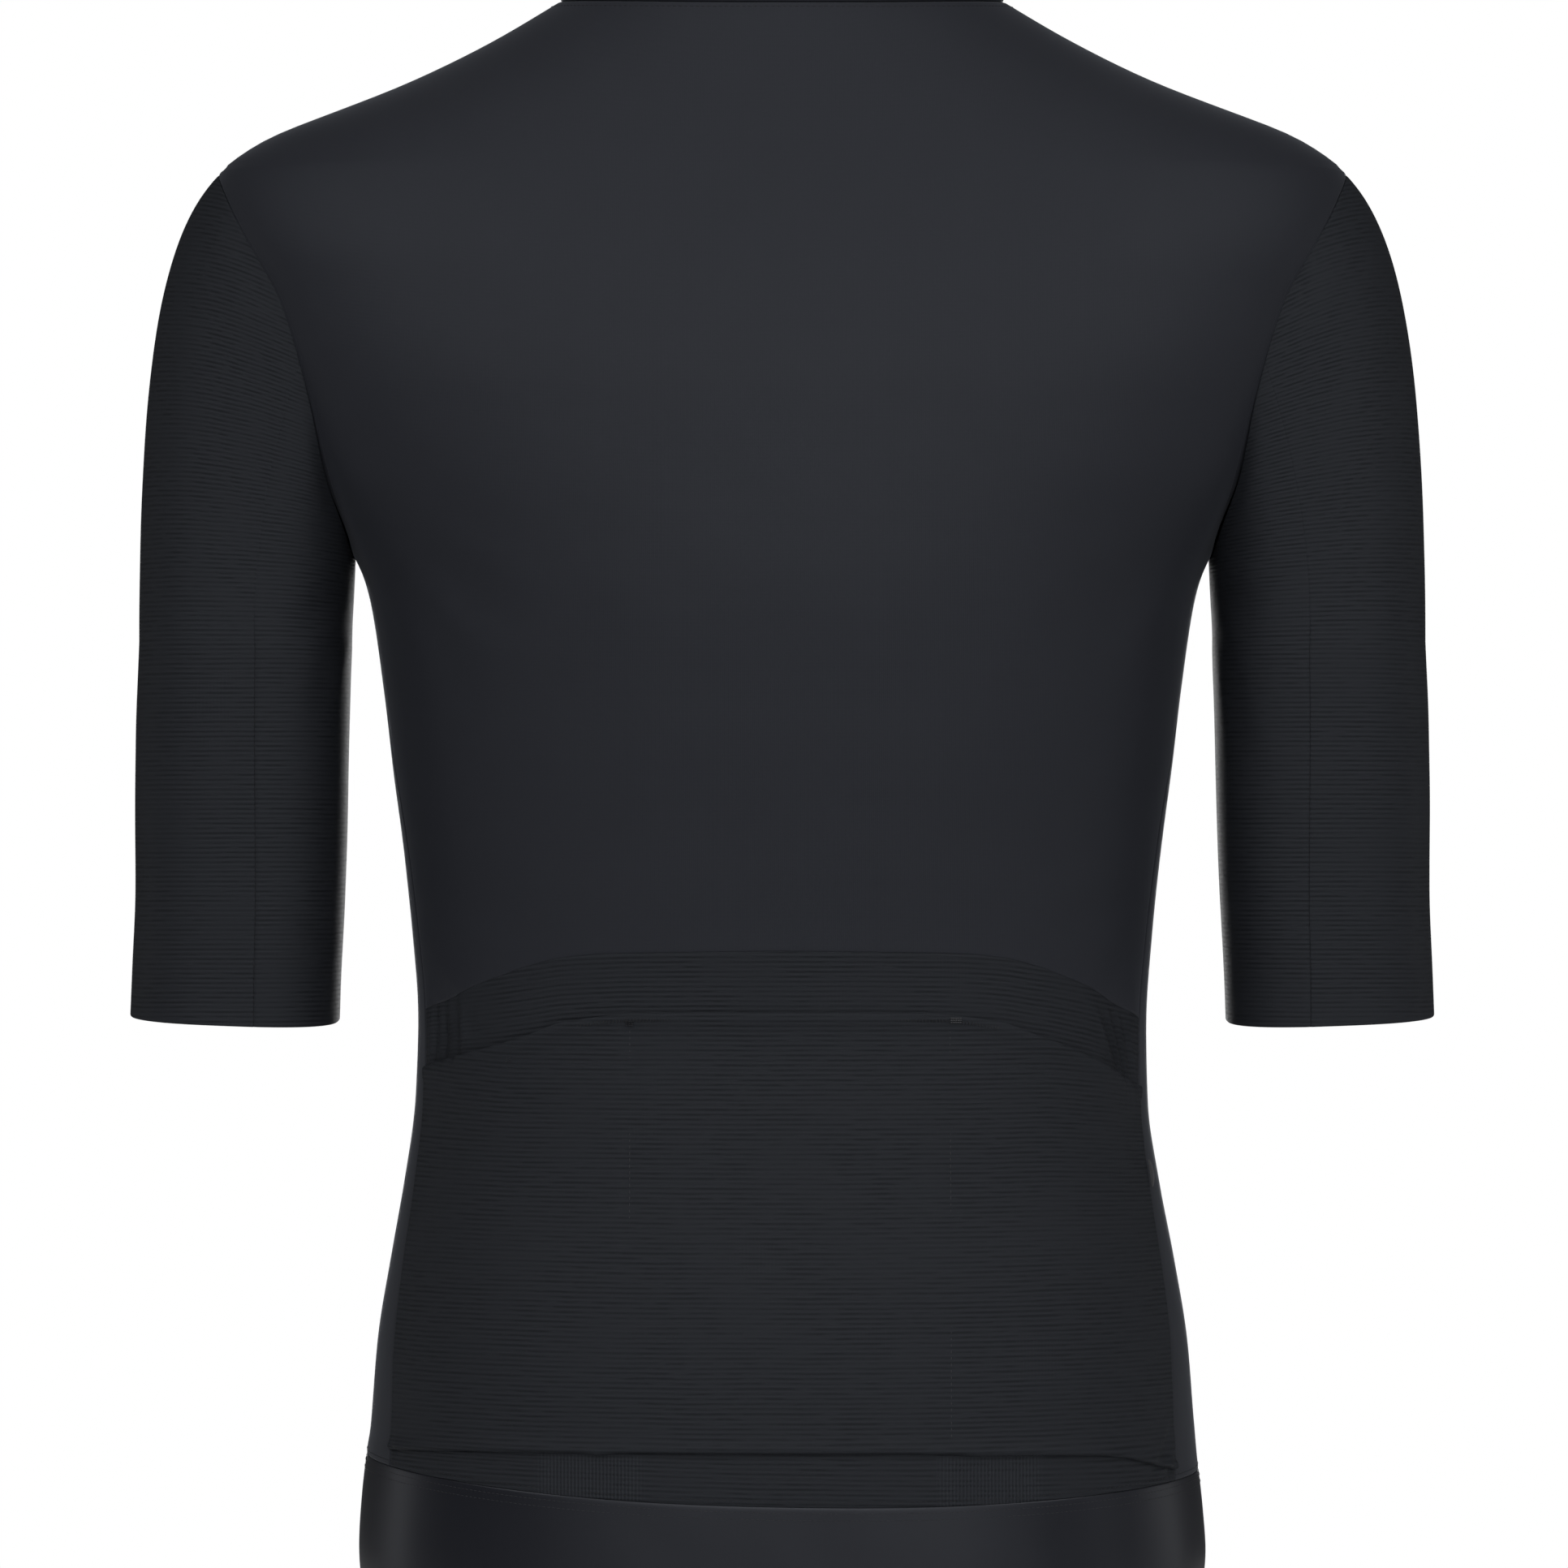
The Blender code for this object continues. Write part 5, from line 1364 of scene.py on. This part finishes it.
# %% [markdown]
# ## Things that repeat: stitches and teeth
# A seam has hundreds of stitches and a zip has hundreds of teeth, all alike and all on a path. Geometry
# Nodes is the tool for that: the path is cut into equal steps, one small bead is put on each, and the bead
# is turned to the path and to the cloth's direction out. One tree serves every row, and its named sizes
# make it a straight stitch, a zigzag, a bar or a tooth.
# %% A tree that lays beads along a path
def bead_tree():
    tree = bpy.data.node_groups.new("beads_along_a_path", "GeometryNodeTree")
    face = tree.interface
    face.new_socket("Geometry", in_out="INPUT", socket_type="NodeSocketGeometry")
    for label in ("Step", "Long", "Thick", "Slant", "Zigzag", "Uneven", "Over"):
        face.new_socket(label, in_out="INPUT", socket_type="NodeSocketFloat")
    face.new_socket("Finish", in_out="INPUT", socket_type="NodeSocketMaterial")
    face.new_socket("Geometry", in_out="OUTPUT", socket_type="NodeSocketGeometry")

    def add(kind, inputs=None, **settings):
        return add_node(tree, kind, inputs, **settings).outputs

    # The path in equal steps, each step lifted over the cloth
    given = add("NodeGroupInput")
    path = add("GeometryNodeMeshToCurve", {"Mesh": given["Geometry"]})
    steps = add("GeometryNodeResampleCurve", {"Curve": path[0], "Length": given["Step"]}, mode="LENGTH")
    out = add("GeometryNodeInputNamedAttribute", {"Name": "out"}, data_type="FLOAT_VECTOR")["Attribute"]
    lift = add("ShaderNodeVectorMath", {0: out, "Scale": given["Over"]}, operation="SCALE")
    place = add("GeometryNodeSetPosition", {"Geometry": steps[0], "Offset": lift[0]})

    # One bead
    ball = add("GeometryNodeMeshUVSphere", {"Segments": 6, "Rings": 5, "Radius": 0.5})
    size = add("ShaderNodeCombineXYZ", {0: given["Long"], 1: given["Thick"], 2: given["Thick"]})
    bead = add("GeometryNodeTransform", {"Geometry": ball[0], "Scale": size[0]})

    # How it is turned: along the path, upright on the cloth, then aslant, every other bead the other way
    align = "FunctionNodeAlignRotationToVector"
    ahead = add(align, {"Vector": add("GeometryNodeInputTangent")[0]}, axis="X")
    upright = add(align, {"Rotation": ahead[0], "Vector": out}, axis="Z", pivot_axis="X")
    other = Flow(add("GeometryNodeInputIndex")[0]) % 2.0 * 2.0 - 1.0
    jitter = add("FunctionNodeRandomValue", {2: -1.0, 3: 1.0, "Seed": 7}, data_type="FLOAT")[1]
    turn = Flow(given["Slant"]) + other * given["Zigzag"] + Flow(jitter) * given["Uneven"]
    spin = add("FunctionNodeEulerToRotation", {0: add("ShaderNodeCombineXYZ", {2: turn})[0]})
    turned = add("FunctionNodeRotateRotation", {"Rotation": upright[0], "Rotate By": spin[0]},
                 rotation_space="LOCAL")

    # A bead on every step, as one smooth mesh of one finish
    beads = {"Points": place[0], "Instance": bead[0], "Rotation": turned[0]}
    lay = add("GeometryNodeInstanceOnPoints", beads)
    real = add("GeometryNodeRealizeInstances", {0: lay[0]})
    smooth = add("GeometryNodeSetShadeSmooth", {"Geometry": real[0]})
    finished = add("GeometryNodeSetMaterial", {"Geometry": smooth[0], "Material": given["Finish"]})
    add("NodeGroupOutput", {0: finished[0]})
    return tree


BEADS = bead_tree()
print("tree inputs:", [item.name for item in BEADS.interface.items_tree if item.in_out == "INPUT"])

# %% [markdown]
# The tree is used once for each kind of row. Paths go in as a mesh of edges with the cloth's direction out
# on every point, and a plain mesh comes out, which then rides on its body like any other piece.
# %% Lay a row of beads
def built_mesh(thing):
    """The mesh that a thing's modifiers build."""
    bpy.context.view_layer.update()
    graph = bpy.context.evaluated_depsgraph_get()
    return bpy.data.meshes.new_from_object(thing.evaluated_get(graph))


def lay_beads(name, paths, finish, slot_name, body="jersey", **sizes):
    """Beads along paths of (points in millimetres, directions out). Sizes are metres and radians."""
    points = np.concatenate([np.asarray(p, float) for p, _ in paths]) * MM
    outs = np.concatenate([np.asarray(o, float) for _, o in paths])
    edges, start = [], 0
    for line, _ in paths:
        edges += [(start + k, start + k + 1) for k in range(len(line) - 1)]
        start += len(line)
    guide = bpy.data.meshes.new(name + "_path")
    guide.from_pydata(points.tolist(), edges, [])
    guide.attributes.new("out", "FLOAT_VECTOR", "POINT").data.foreach_set("vector", outs.reshape(-1))
    holder = new_piece(name + "_path", guide)
    change = holder.modifiers.new("beads", "NODES")
    change.node_group = BEADS
    sizes = {"Slant": 0.0, "Zigzag": 0.0, "Uneven": 0.05, "Over": 0.0, **sizes, "Finish": FINISHES[finish]}
    for item in BEADS.interface.items_tree:
        if item.in_out == "INPUT" and item.name in sizes:
            change[item.identifier] = sizes[item.name]
    holder.update_tag()
    mesh = built_mesh(holder)
    bpy.data.objects.remove(holder, do_unlink=True)
    mesh.name = name
    row = new_piece(name, mesh)
    put_finish(row, finish)
    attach(row, body)
    print(name, len(mesh.polygons), "faces")
    return row


def on_body(angles, heights, over):
    """Points of the dressed body's face and the directions out, for a row of stitches."""
    angles, heights = np.broadcast_arrays(np.asarray(angles, float), np.asarray(heights, float))
    face, away = body_point(angles, heights), body_normal(angles, heights)
    moved = fold_depth(face, body_folds) + hang(face) + over
    return face + moved[..., None] * away, away


def on_sleeve(turns, downs, over, side):
    turns, downs = np.broadcast_arrays(np.asarray(turns, float), np.asarray(downs, float))
    face, away = sleeve_point(turns, downs), sleeve_normal(turns, downs)
    folds = left_folds if side > 0 else right_folds
    mirror = np.array([side, 1.0, 1.0])
    moved = fold_depth(face, folds) + hang(face * mirror) + over
    return (face + moved[..., None] * away) * mirror, away * mirror


# %% [markdown]
# The pocket mouth: a row of short upright stitches holds the binding down. Two straight rows close the
# pocket into three, and a small bar of close stitches locks each end where a hand would tear it. The bar
# beside the middle pocket is sewn in pale thread.
# %% Pocket stitches
# The mouth's row: where it ends, how far it lies below the edge, and how far it stands over the cloth
MOUTH_ENDS, MOUTH_ROW_BELOW, MOUTH_ROW_OVER = 52.0, 2.6, 1.05
DIVIDER_FOOT_Z, DIVIDER_TOP_Z, DIVIDER_SUNK = -597.0, -424.0, 0.42
STITCH_THICK = 0.00042
mouth_angles = np.linspace(-MOUTH_ENDS, MOUTH_ENDS, 320)
mouth_heights = pocket_mouth(np.abs(mouth_angles))
binding = [on_body(mouth_angles, mouth_heights - MOUTH_ROW_BELOW, POCKET_LIFT + MOUTH_ROW_OVER)]
lay_beads("pocket_mouth_stitches", binding, "dark_thread", "ribbed_knit",
          Step=0.0014, Long=0.0017, Thick=STITCH_THICK, Slant=math.pi / 2)

divider_heights = np.linspace(DIVIDER_FOOT_Z, DIVIDER_TOP_Z, 90)
dividers = [on_body(divider_angle(x, divider_heights), divider_heights, POCKET_LIFT - DIVIDER_SUNK)
            for x in (DIVIDER_LEFT_X, DIVIDER_RIGHT_X)]
lay_beads("pocket_divider_stitches", dividers, "sewing_thread", "ribbed_knit",
          Step=0.0026, Long=0.0017, Thick=STITCH_THICK)

DARK_BARS = (
    # x, height, wide, tall, how far it stands over the pocket cloth, rows
    (DIVIDER_LEFT_X, -425.8, 2.2, 1.6, 0.9, 3),
    (111.1, -440.3, 1.3, 3.8, 0.3, 5),
    (-122, -440.3, 1.3, 3.8, 0.3, 5),
)
PALE_BARS = ((-70.2, -424.6, 3.6, 1.7, 1.0, 3),)


def bar_lines(table):
    """Each bar of a table as a few short level paths, one above the other."""
    lines = []
    for x, height, wide, tall, stands, rows in table:
        xs = np.linspace(x - wide / 2, x + wide / 2, 4)
        for level in np.linspace(height - tall / 2, height + tall / 2, rows):
            levels = np.full(4, level)
            lines.append(on_body(divider_angle(xs, levels), levels, POCKET_LIFT + stands))
    return lines


close = {"Step": 0.0009, "Long": 0.0011, "Thick": 0.0006}
lay_beads("pocket_bars", bar_lines(DARK_BARS), "dark_thread", "ribbed_knit", **close)
lay_beads("pocket_pale_bar", bar_lines(PALE_BARS), "pale_thread", "pale_tape", **close)

# %% [markdown]
# The hem band is joined with a cover seam: two rows of short stitches just below the join, and one above
# it. The neck seam has one fine row beside it, and the sleeve's closing seam one row in its groove. The
# armholes, the shoulder seams and the bowed seam are stitched from inside, so they show only their groove.
# %% Seam rows
FINE_THREAD = 0.0003
# How far each row lies from its seam, and how deep the closing seam's row is sunk
COVER_DROPS, TOP_ROW_RISE, NECK_ROW_DROP, CLOSING_SUNK = (2.4, 5.2), 2.2, 2.3, 0.42
rounds = np.linspace(-front_end + 0.6, front_end - 0.6, 900)
band_rows = [on_body(rounds, band_top(rounds) - drop, 0.05) for drop in COVER_DROPS]
lay_beads("band_cover_stitches", band_rows, "sewing_thread", "elastic_band",
          Step=0.0021, Long=0.0016, Thick=FINE_THREAD)
fine_row = {"Step": 0.0024, "Long": 0.0018, "Thick": FINE_THREAD}
above = [on_body(rounds, band_top(rounds) + TOP_ROW_RISE, 0.03)]
lay_beads("band_top_stitches", above, "dark_thread", "ribbed_knit", **fine_row)

angles, levels = (grid[-1, 2:-2] for grid in upper_grid())
neck_row = [on_body(angles, levels - NECK_ROW_DROP, 0.03)]
lay_beads("neck_stitches", neck_row, "dark_thread", "smooth_knit", **fine_row)

downs = np.linspace(1.0, 1.98, 110)
closing = [on_sleeve(closing_turn(downs), downs, -CLOSING_SUNK, side) for side, _ in SIDES]
lay_beads("sleeve_closing_stitches", closing, "dark_thread", "ribbed_knit",
          Step=0.0025, Long=0.0019, Thick=0.0004)

# %% [markdown]
# Inside, every seam has a narrow allowance, bound with a zigzag overlock. It closes the fine slit between
# two panels, and it is what is seen when one looks in at the hem, the neck or a sleeve.
# %% Seam allowances and overlock
ALLOWANCE_HALF, ALLOWANCE_IN, ALLOWANCE_THICK = 3.4, 1.0, 0.45
# The strip's edges stand away from the cloth, in mm for each square mm across
ALLOWANCE_BEND = 0.0125


def allowance(name, angles, heights):
    """A narrow strip behind a seam of the body. What comes back is its middle line, for the overlock."""
    face, away = body_point(angles, heights), body_normal(angles, heights)
    moved = fold_depth(face, body_folds) + hang(face)
    aside = unit(np.cross(away, unit(np.gradient(face, axis=0))))
    offsets = np.linspace(-ALLOWANCE_HALF, ALLOWANCE_HALF, 5)
    grid = face[:, None, :] + aside[:, None, :] * offsets[None, :, None]
    deep = moved[:, None] - ALLOWANCE_IN - ALLOWANCE_BEND * offsets[None, :] ** 2
    outer = grid + deep[..., None] * away[:, None, :]
    inner = outer - ALLOWANCE_THICK * away[:, None, :]
    near = edge_distances(outer)
    strip = lay_cloth(name, outer, inner, near["first"], near["foot"])
    put_finish(strip, "smooth_knit")
    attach(strip, "jersey")
    return inner[:, 2], -away


side_levels = np.linspace(float(band_top(side_seam(BAND_TOP_SIDE))) - 1.5, ARMPIT_Z - 2.0, 150)
_, arm_angles, arm_levels = armhole_point(np.linspace(3.0, 357.0, 170))
shoulder_levels = np.linspace(SHOULDER_Z + 1.0, NECK_SIDE_Z - 1.0, 40)
SEAMS = (
    ("side", side_seam(side_levels), side_levels),
    ("armhole", arm_angles, arm_levels),
    ("shoulder", np.full(40, SHOULDER_SEAM_ANGLE), shoulder_levels),
)
inside_rows = [allowance(seam + "_allowance_" + which, side * angles, levels)
               for side, which in SIDES for seam, angles, levels in SEAMS]
bowed_angles = np.linspace(-73.5, 73.5, 420)
inside_rows.append(allowance("bowed_allowance", bowed_angles, bowed_seam(np.abs(bowed_angles))))
inside_rows.append(allowance("band_allowance", rounds, band_top(rounds)))
lay_beads("overlock", inside_rows, "sewing_thread", "smooth_knit",
          Step=0.0019, Long=0.0052, Thick=0.00036, Slant=math.pi / 2, Zigzag=0.32)

# %% [markdown]
# The zip's coil: each tooth is a filament loop across the tape, and the two rows are set half a step apart
# so that they mesh. A cord of knitted yarn runs down the middle of a real coil and fills it.
# %% Zip teeth
TOOTH_STEP, TOOTH_LONG, TOOTH_THICK = 0.00125, 0.0030, 0.00078
# A row's distance from the middle, its depth behind the cloth's face, and how far it is shifted along the zip
ROW_OUT_X, ROW_DEEP, ROW_SHIFT = 1.05, 0.35, 0.3
CORD_XS, CORD_HIGH, CORD_LOW = (-2.0, -0.7, 0.7, 2.0), -0.55, -1.2
coil_heights = zip_heights(collar_top - SLIDER_BELOW_TOP - PLATE_HALF_LONG + 0.6)
away = forward_normals(np.stack([zip_line(coil_heights, -1.0), zip_line(coil_heights, 1.0)], axis=1))[:, 0]
tooth_rows = []
for side, _ in SIDES:
    shift = np.array([0.0, 0.0, ROW_SHIFT * side])
    tooth_rows.append((zip_line(coil_heights, side * ROW_OUT_X) - ROW_DEEP * away + shift, away))
teeth = lay_beads("zip_teeth", tooth_rows, "zip_coil", "zip_coil",
                  Step=TOOTH_STEP, Long=TOOTH_LONG, Thick=TOOTH_THICK, Slant=math.pi / 2, Uneven=0.0)
cord = zip_strip("zip_coil_cord", CORD_XS, coil_heights, CORD_HIGH, CORD_LOW)
put_finish(cord, "zip_tape_cloth")
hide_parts("zip_chain")
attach(cord, "jersey")
print("about", int(2 * np.ptp(coil_heights) * MM / TOOTH_STEP), "teeth")

# %% [markdown]
# The slider and its pull are small castings. The rigid model already has their true shape, so each is a
# copy of it, with its doubled points merged and its edges eased by a small bevel.
# %% Slider and pull
MERGE_UNDER, EASE_WIDE, EASE_DEGREES, CAST_SHARP_DEGREES = 1e-6, 0.00022, 40.0, 35.0


def cast(name, node, body):
    """A copy of a small hard node with eased edges."""
    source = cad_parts[node]
    mesh = source.data.copy()
    mesh.name = name
    mesh.transform(source.matrix_world)
    piece = new_piece(name, mesh)
    weld = piece.modifiers.new("weld", "WELD")
    weld.merge_threshold = MERGE_UNDER
    ease = piece.modifiers.new("ease", "BEVEL")
    ease.width, ease.segments = EASE_WIDE, 2
    ease.limit_method = "ANGLE"
    ease.angle_limit = math.radians(EASE_DEGREES)
    eased_mesh = built_mesh(piece)
    piece.modifiers.clear()
    piece.data = eased_mesh
    eased_mesh.shade_smooth()
    eased_mesh.set_sharp_from_angle(angle=math.radians(CAST_SHARP_DEGREES))
    put_finish(piece, "zip_metal")
    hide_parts(node)
    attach(piece, body)
    print(name, len(eased_mesh.polygons), "faces")


cast("zip_slider_cast", "zip_slider", "jersey")
cast("zip_pull_cast", "zip_pull", "pull")

# %% [markdown]
# The side tab is a short loop of pale tape caught in the right side seam. It is two layers of tape that
# meet in a round fold at their outer edge.
# %% Side tab
TAB_SHOWS = 1.7
tab_heights = np.linspace(TAB_FOOT_Z, TAB_TOP_Z, 15)
tab_seam = -side_seam(tab_heights)
tab_face, tab_away = body_point(tab_seam, tab_heights), body_normal(tab_seam, tab_heights)
tab_around = unit(body_point(tab_seam - 1.0, tab_heights) - body_point(tab_seam, tab_heights))
tab_middle = (tab_heights[0] + tab_heights[-1]) / 2
to_corner = np.abs(tab_heights - tab_middle) / (tab_heights[-1] - tab_middle)
tab_rise = TAB_SHOWS * (1.0 - to_corner**2.5 * 0.75)
tab_outer, tab_inner = [], []
for share in np.linspace(0.0, 1.0, 9):
    lift = (POCKET_WALL + 2 * LAYER_GAP + 0.1 + share * tab_rise)[:, None]
    half_thick = TAB_LAYER / 2 * math.sqrt(max(1.0 - max((share - 0.7) / 0.3, 0.0) ** 2, 0.02))
    tab_outer.append(tab_face + tab_away * lift + tab_around * half_thick)
    tab_inner.append(tab_face + tab_away * lift - tab_around * half_thick)
tab_outer, tab_inner = np.array(tab_outer), np.array(tab_inner)
near = edge_distances(tab_outer)
tab = lay_cloth("side_tab_tape", tab_outer, tab_inner, near["first"], near["foot"])
put_finish(tab, "pale_tape")
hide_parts("side_tab")
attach(tab, "jersey")
print("side tab", round(abs(float(tab_heights[-1] - tab_heights[0])), 1), "mm tall")

# %% [markdown]
# ## Light and camera
# The room is white to the camera, but its walls light the cloth only faintly. Twelve soft lamps do the
# work, all aimed at the jersey's middle. A broad one behind the wearer and two at its sides light the back,
# smaller ones above make the shoulders paler, weak ones at the sides draw a pale strip down the flanks and
# the hem band, and one lights the front for whoever walks round.
# %% Studio
FLOOR_Z, FLOOR_RADIUS = -0.80, 1.15
MIDDLE = np.array([0.0, 0.0, -0.32])
WHITE = (1.0, 1.0, 1.0, 1.0)

scene = bpy.context.scene
scene.view_settings.view_transform = "Standard"
scene.view_settings.look = "None"
world = bpy.data.worlds.new("white_room")
world.use_nodes = True
room = world.node_tree
sky = feed(room.nodes["Background"], {"Color": WHITE, "Strength": 0.05})
seen = add_node(room, "ShaderNodeBackground", {"Color": WHITE, "Strength": 1.0})
by_camera = add_node(room, "ShaderNodeLightPath").outputs["Is Camera Ray"]
mix = add_node(room, "ShaderNodeMixShader", {0: by_camera, 1: sky.outputs[0], 2: seen.outputs[0]})
feed(room.nodes["World Output"], {"Surface": mix.outputs[0]})
scene.world = world


def lamp(name, turn, rise, far, wide, tall, watts):
    """A soft lamp, this far from the jersey's middle in metres and aimed at it.

    Turn 0 is behind the wearer and 90 to the wearer's left. Rise is how high it stands. Both are degrees.
    """
    light = bpy.data.lights.new(name, "AREA")
    light.shape = "RECTANGLE"
    light.size, light.size_y, light.energy = wide, tall, watts
    a, e = math.radians(turn), math.radians(rise)
    way = -far * np.array([math.cos(e) * math.sin(a), math.cos(e) * math.cos(a), math.sin(e)])
    thing = new_piece(name, light)
    thing.location = MIDDLE - way
    pitch = math.atan2(math.hypot(way[0], way[1]), -way[2])
    thing.rotation_euler = (pitch, 0.0, math.atan2(way[1], way[0]) - math.pi / 2)


LAMPS = (
    # name, turn, rise, far, wide, tall, watts
    ("back_wide", 0.0, 10.0, 3.3, 3.0, 0.9, 21.4),
    ("back_high", 0.0, 52.0, 2.4, 1.4, 0.9, 4.1),
    ("back_near", 0.0, 27.4, 1.24, 0.4, 0.4, 1.0),
    ("overhead", 0.0, 84.0, 1.93, 0.9, 0.9, 3.5),
    ("back_left", 48.0, 30.0, 2.4, 0.9, 0.9, 10.1),
    ("back_right", -48.0, 30.0, 2.4, 0.9, 0.9, 10.5),
    ("left_near", 30.0, 0.0, 2.4, 0.8, 1.0, 0.5),
    ("right_near", -30.0, 0.0, 2.4, 0.8, 1.0, 2.0),
    ("right_low", -68.0, 0.0, 2.2, 0.5, 1.2, 1.0),
    ("left_flank", 104.0, -6.0, 2.2, 0.7, 1.2, 2.0),
    ("right_flank", -104.0, -6.0, 2.2, 0.9, 1.2, 2.2),
    ("front_wide", 180.0, 2.0, 3.3, 1.8, 1.2, 42.0),
)
for row in LAMPS:
    lamp(*row)
print(len(LAMPS), "lamps")

floor = bpy.data.meshes.new("floor")
turns = np.linspace(0.0, 2.0 * math.pi, 97)[:-1]
floor.from_pydata([(FLOOR_RADIUS * math.cos(t), FLOOR_RADIUS * math.sin(t), FLOOR_Z) for t in turns], [],
                  [tuple(range(96))])
floor_piece = new_piece("floor", floor)
paper = bpy.data.materials.new("paper")
paper.use_nodes = True
feed(paper.node_tree.nodes["Principled BSDF"], {"Base Color": (0.86, 0.86, 0.86, 1.0), "Roughness": 0.9})
floor.materials.append(paper)

# The camera's place in metres, and its sensor and lens in millimetres
CAMERA_AT, SENSOR_WIDE, LENS_LONG = (-0.0007, 3.0, -0.3284), 36.0, 164.4
lens = bpy.data.cameras.new("camera")
lens.sensor_width, lens.lens = SENSOR_WIDE, LENS_LONG
camera = new_piece("camera", lens)
camera.location = CAMERA_AT
camera.rotation_euler = (math.pi / 2, 0.0, math.pi)
scene.camera = camera
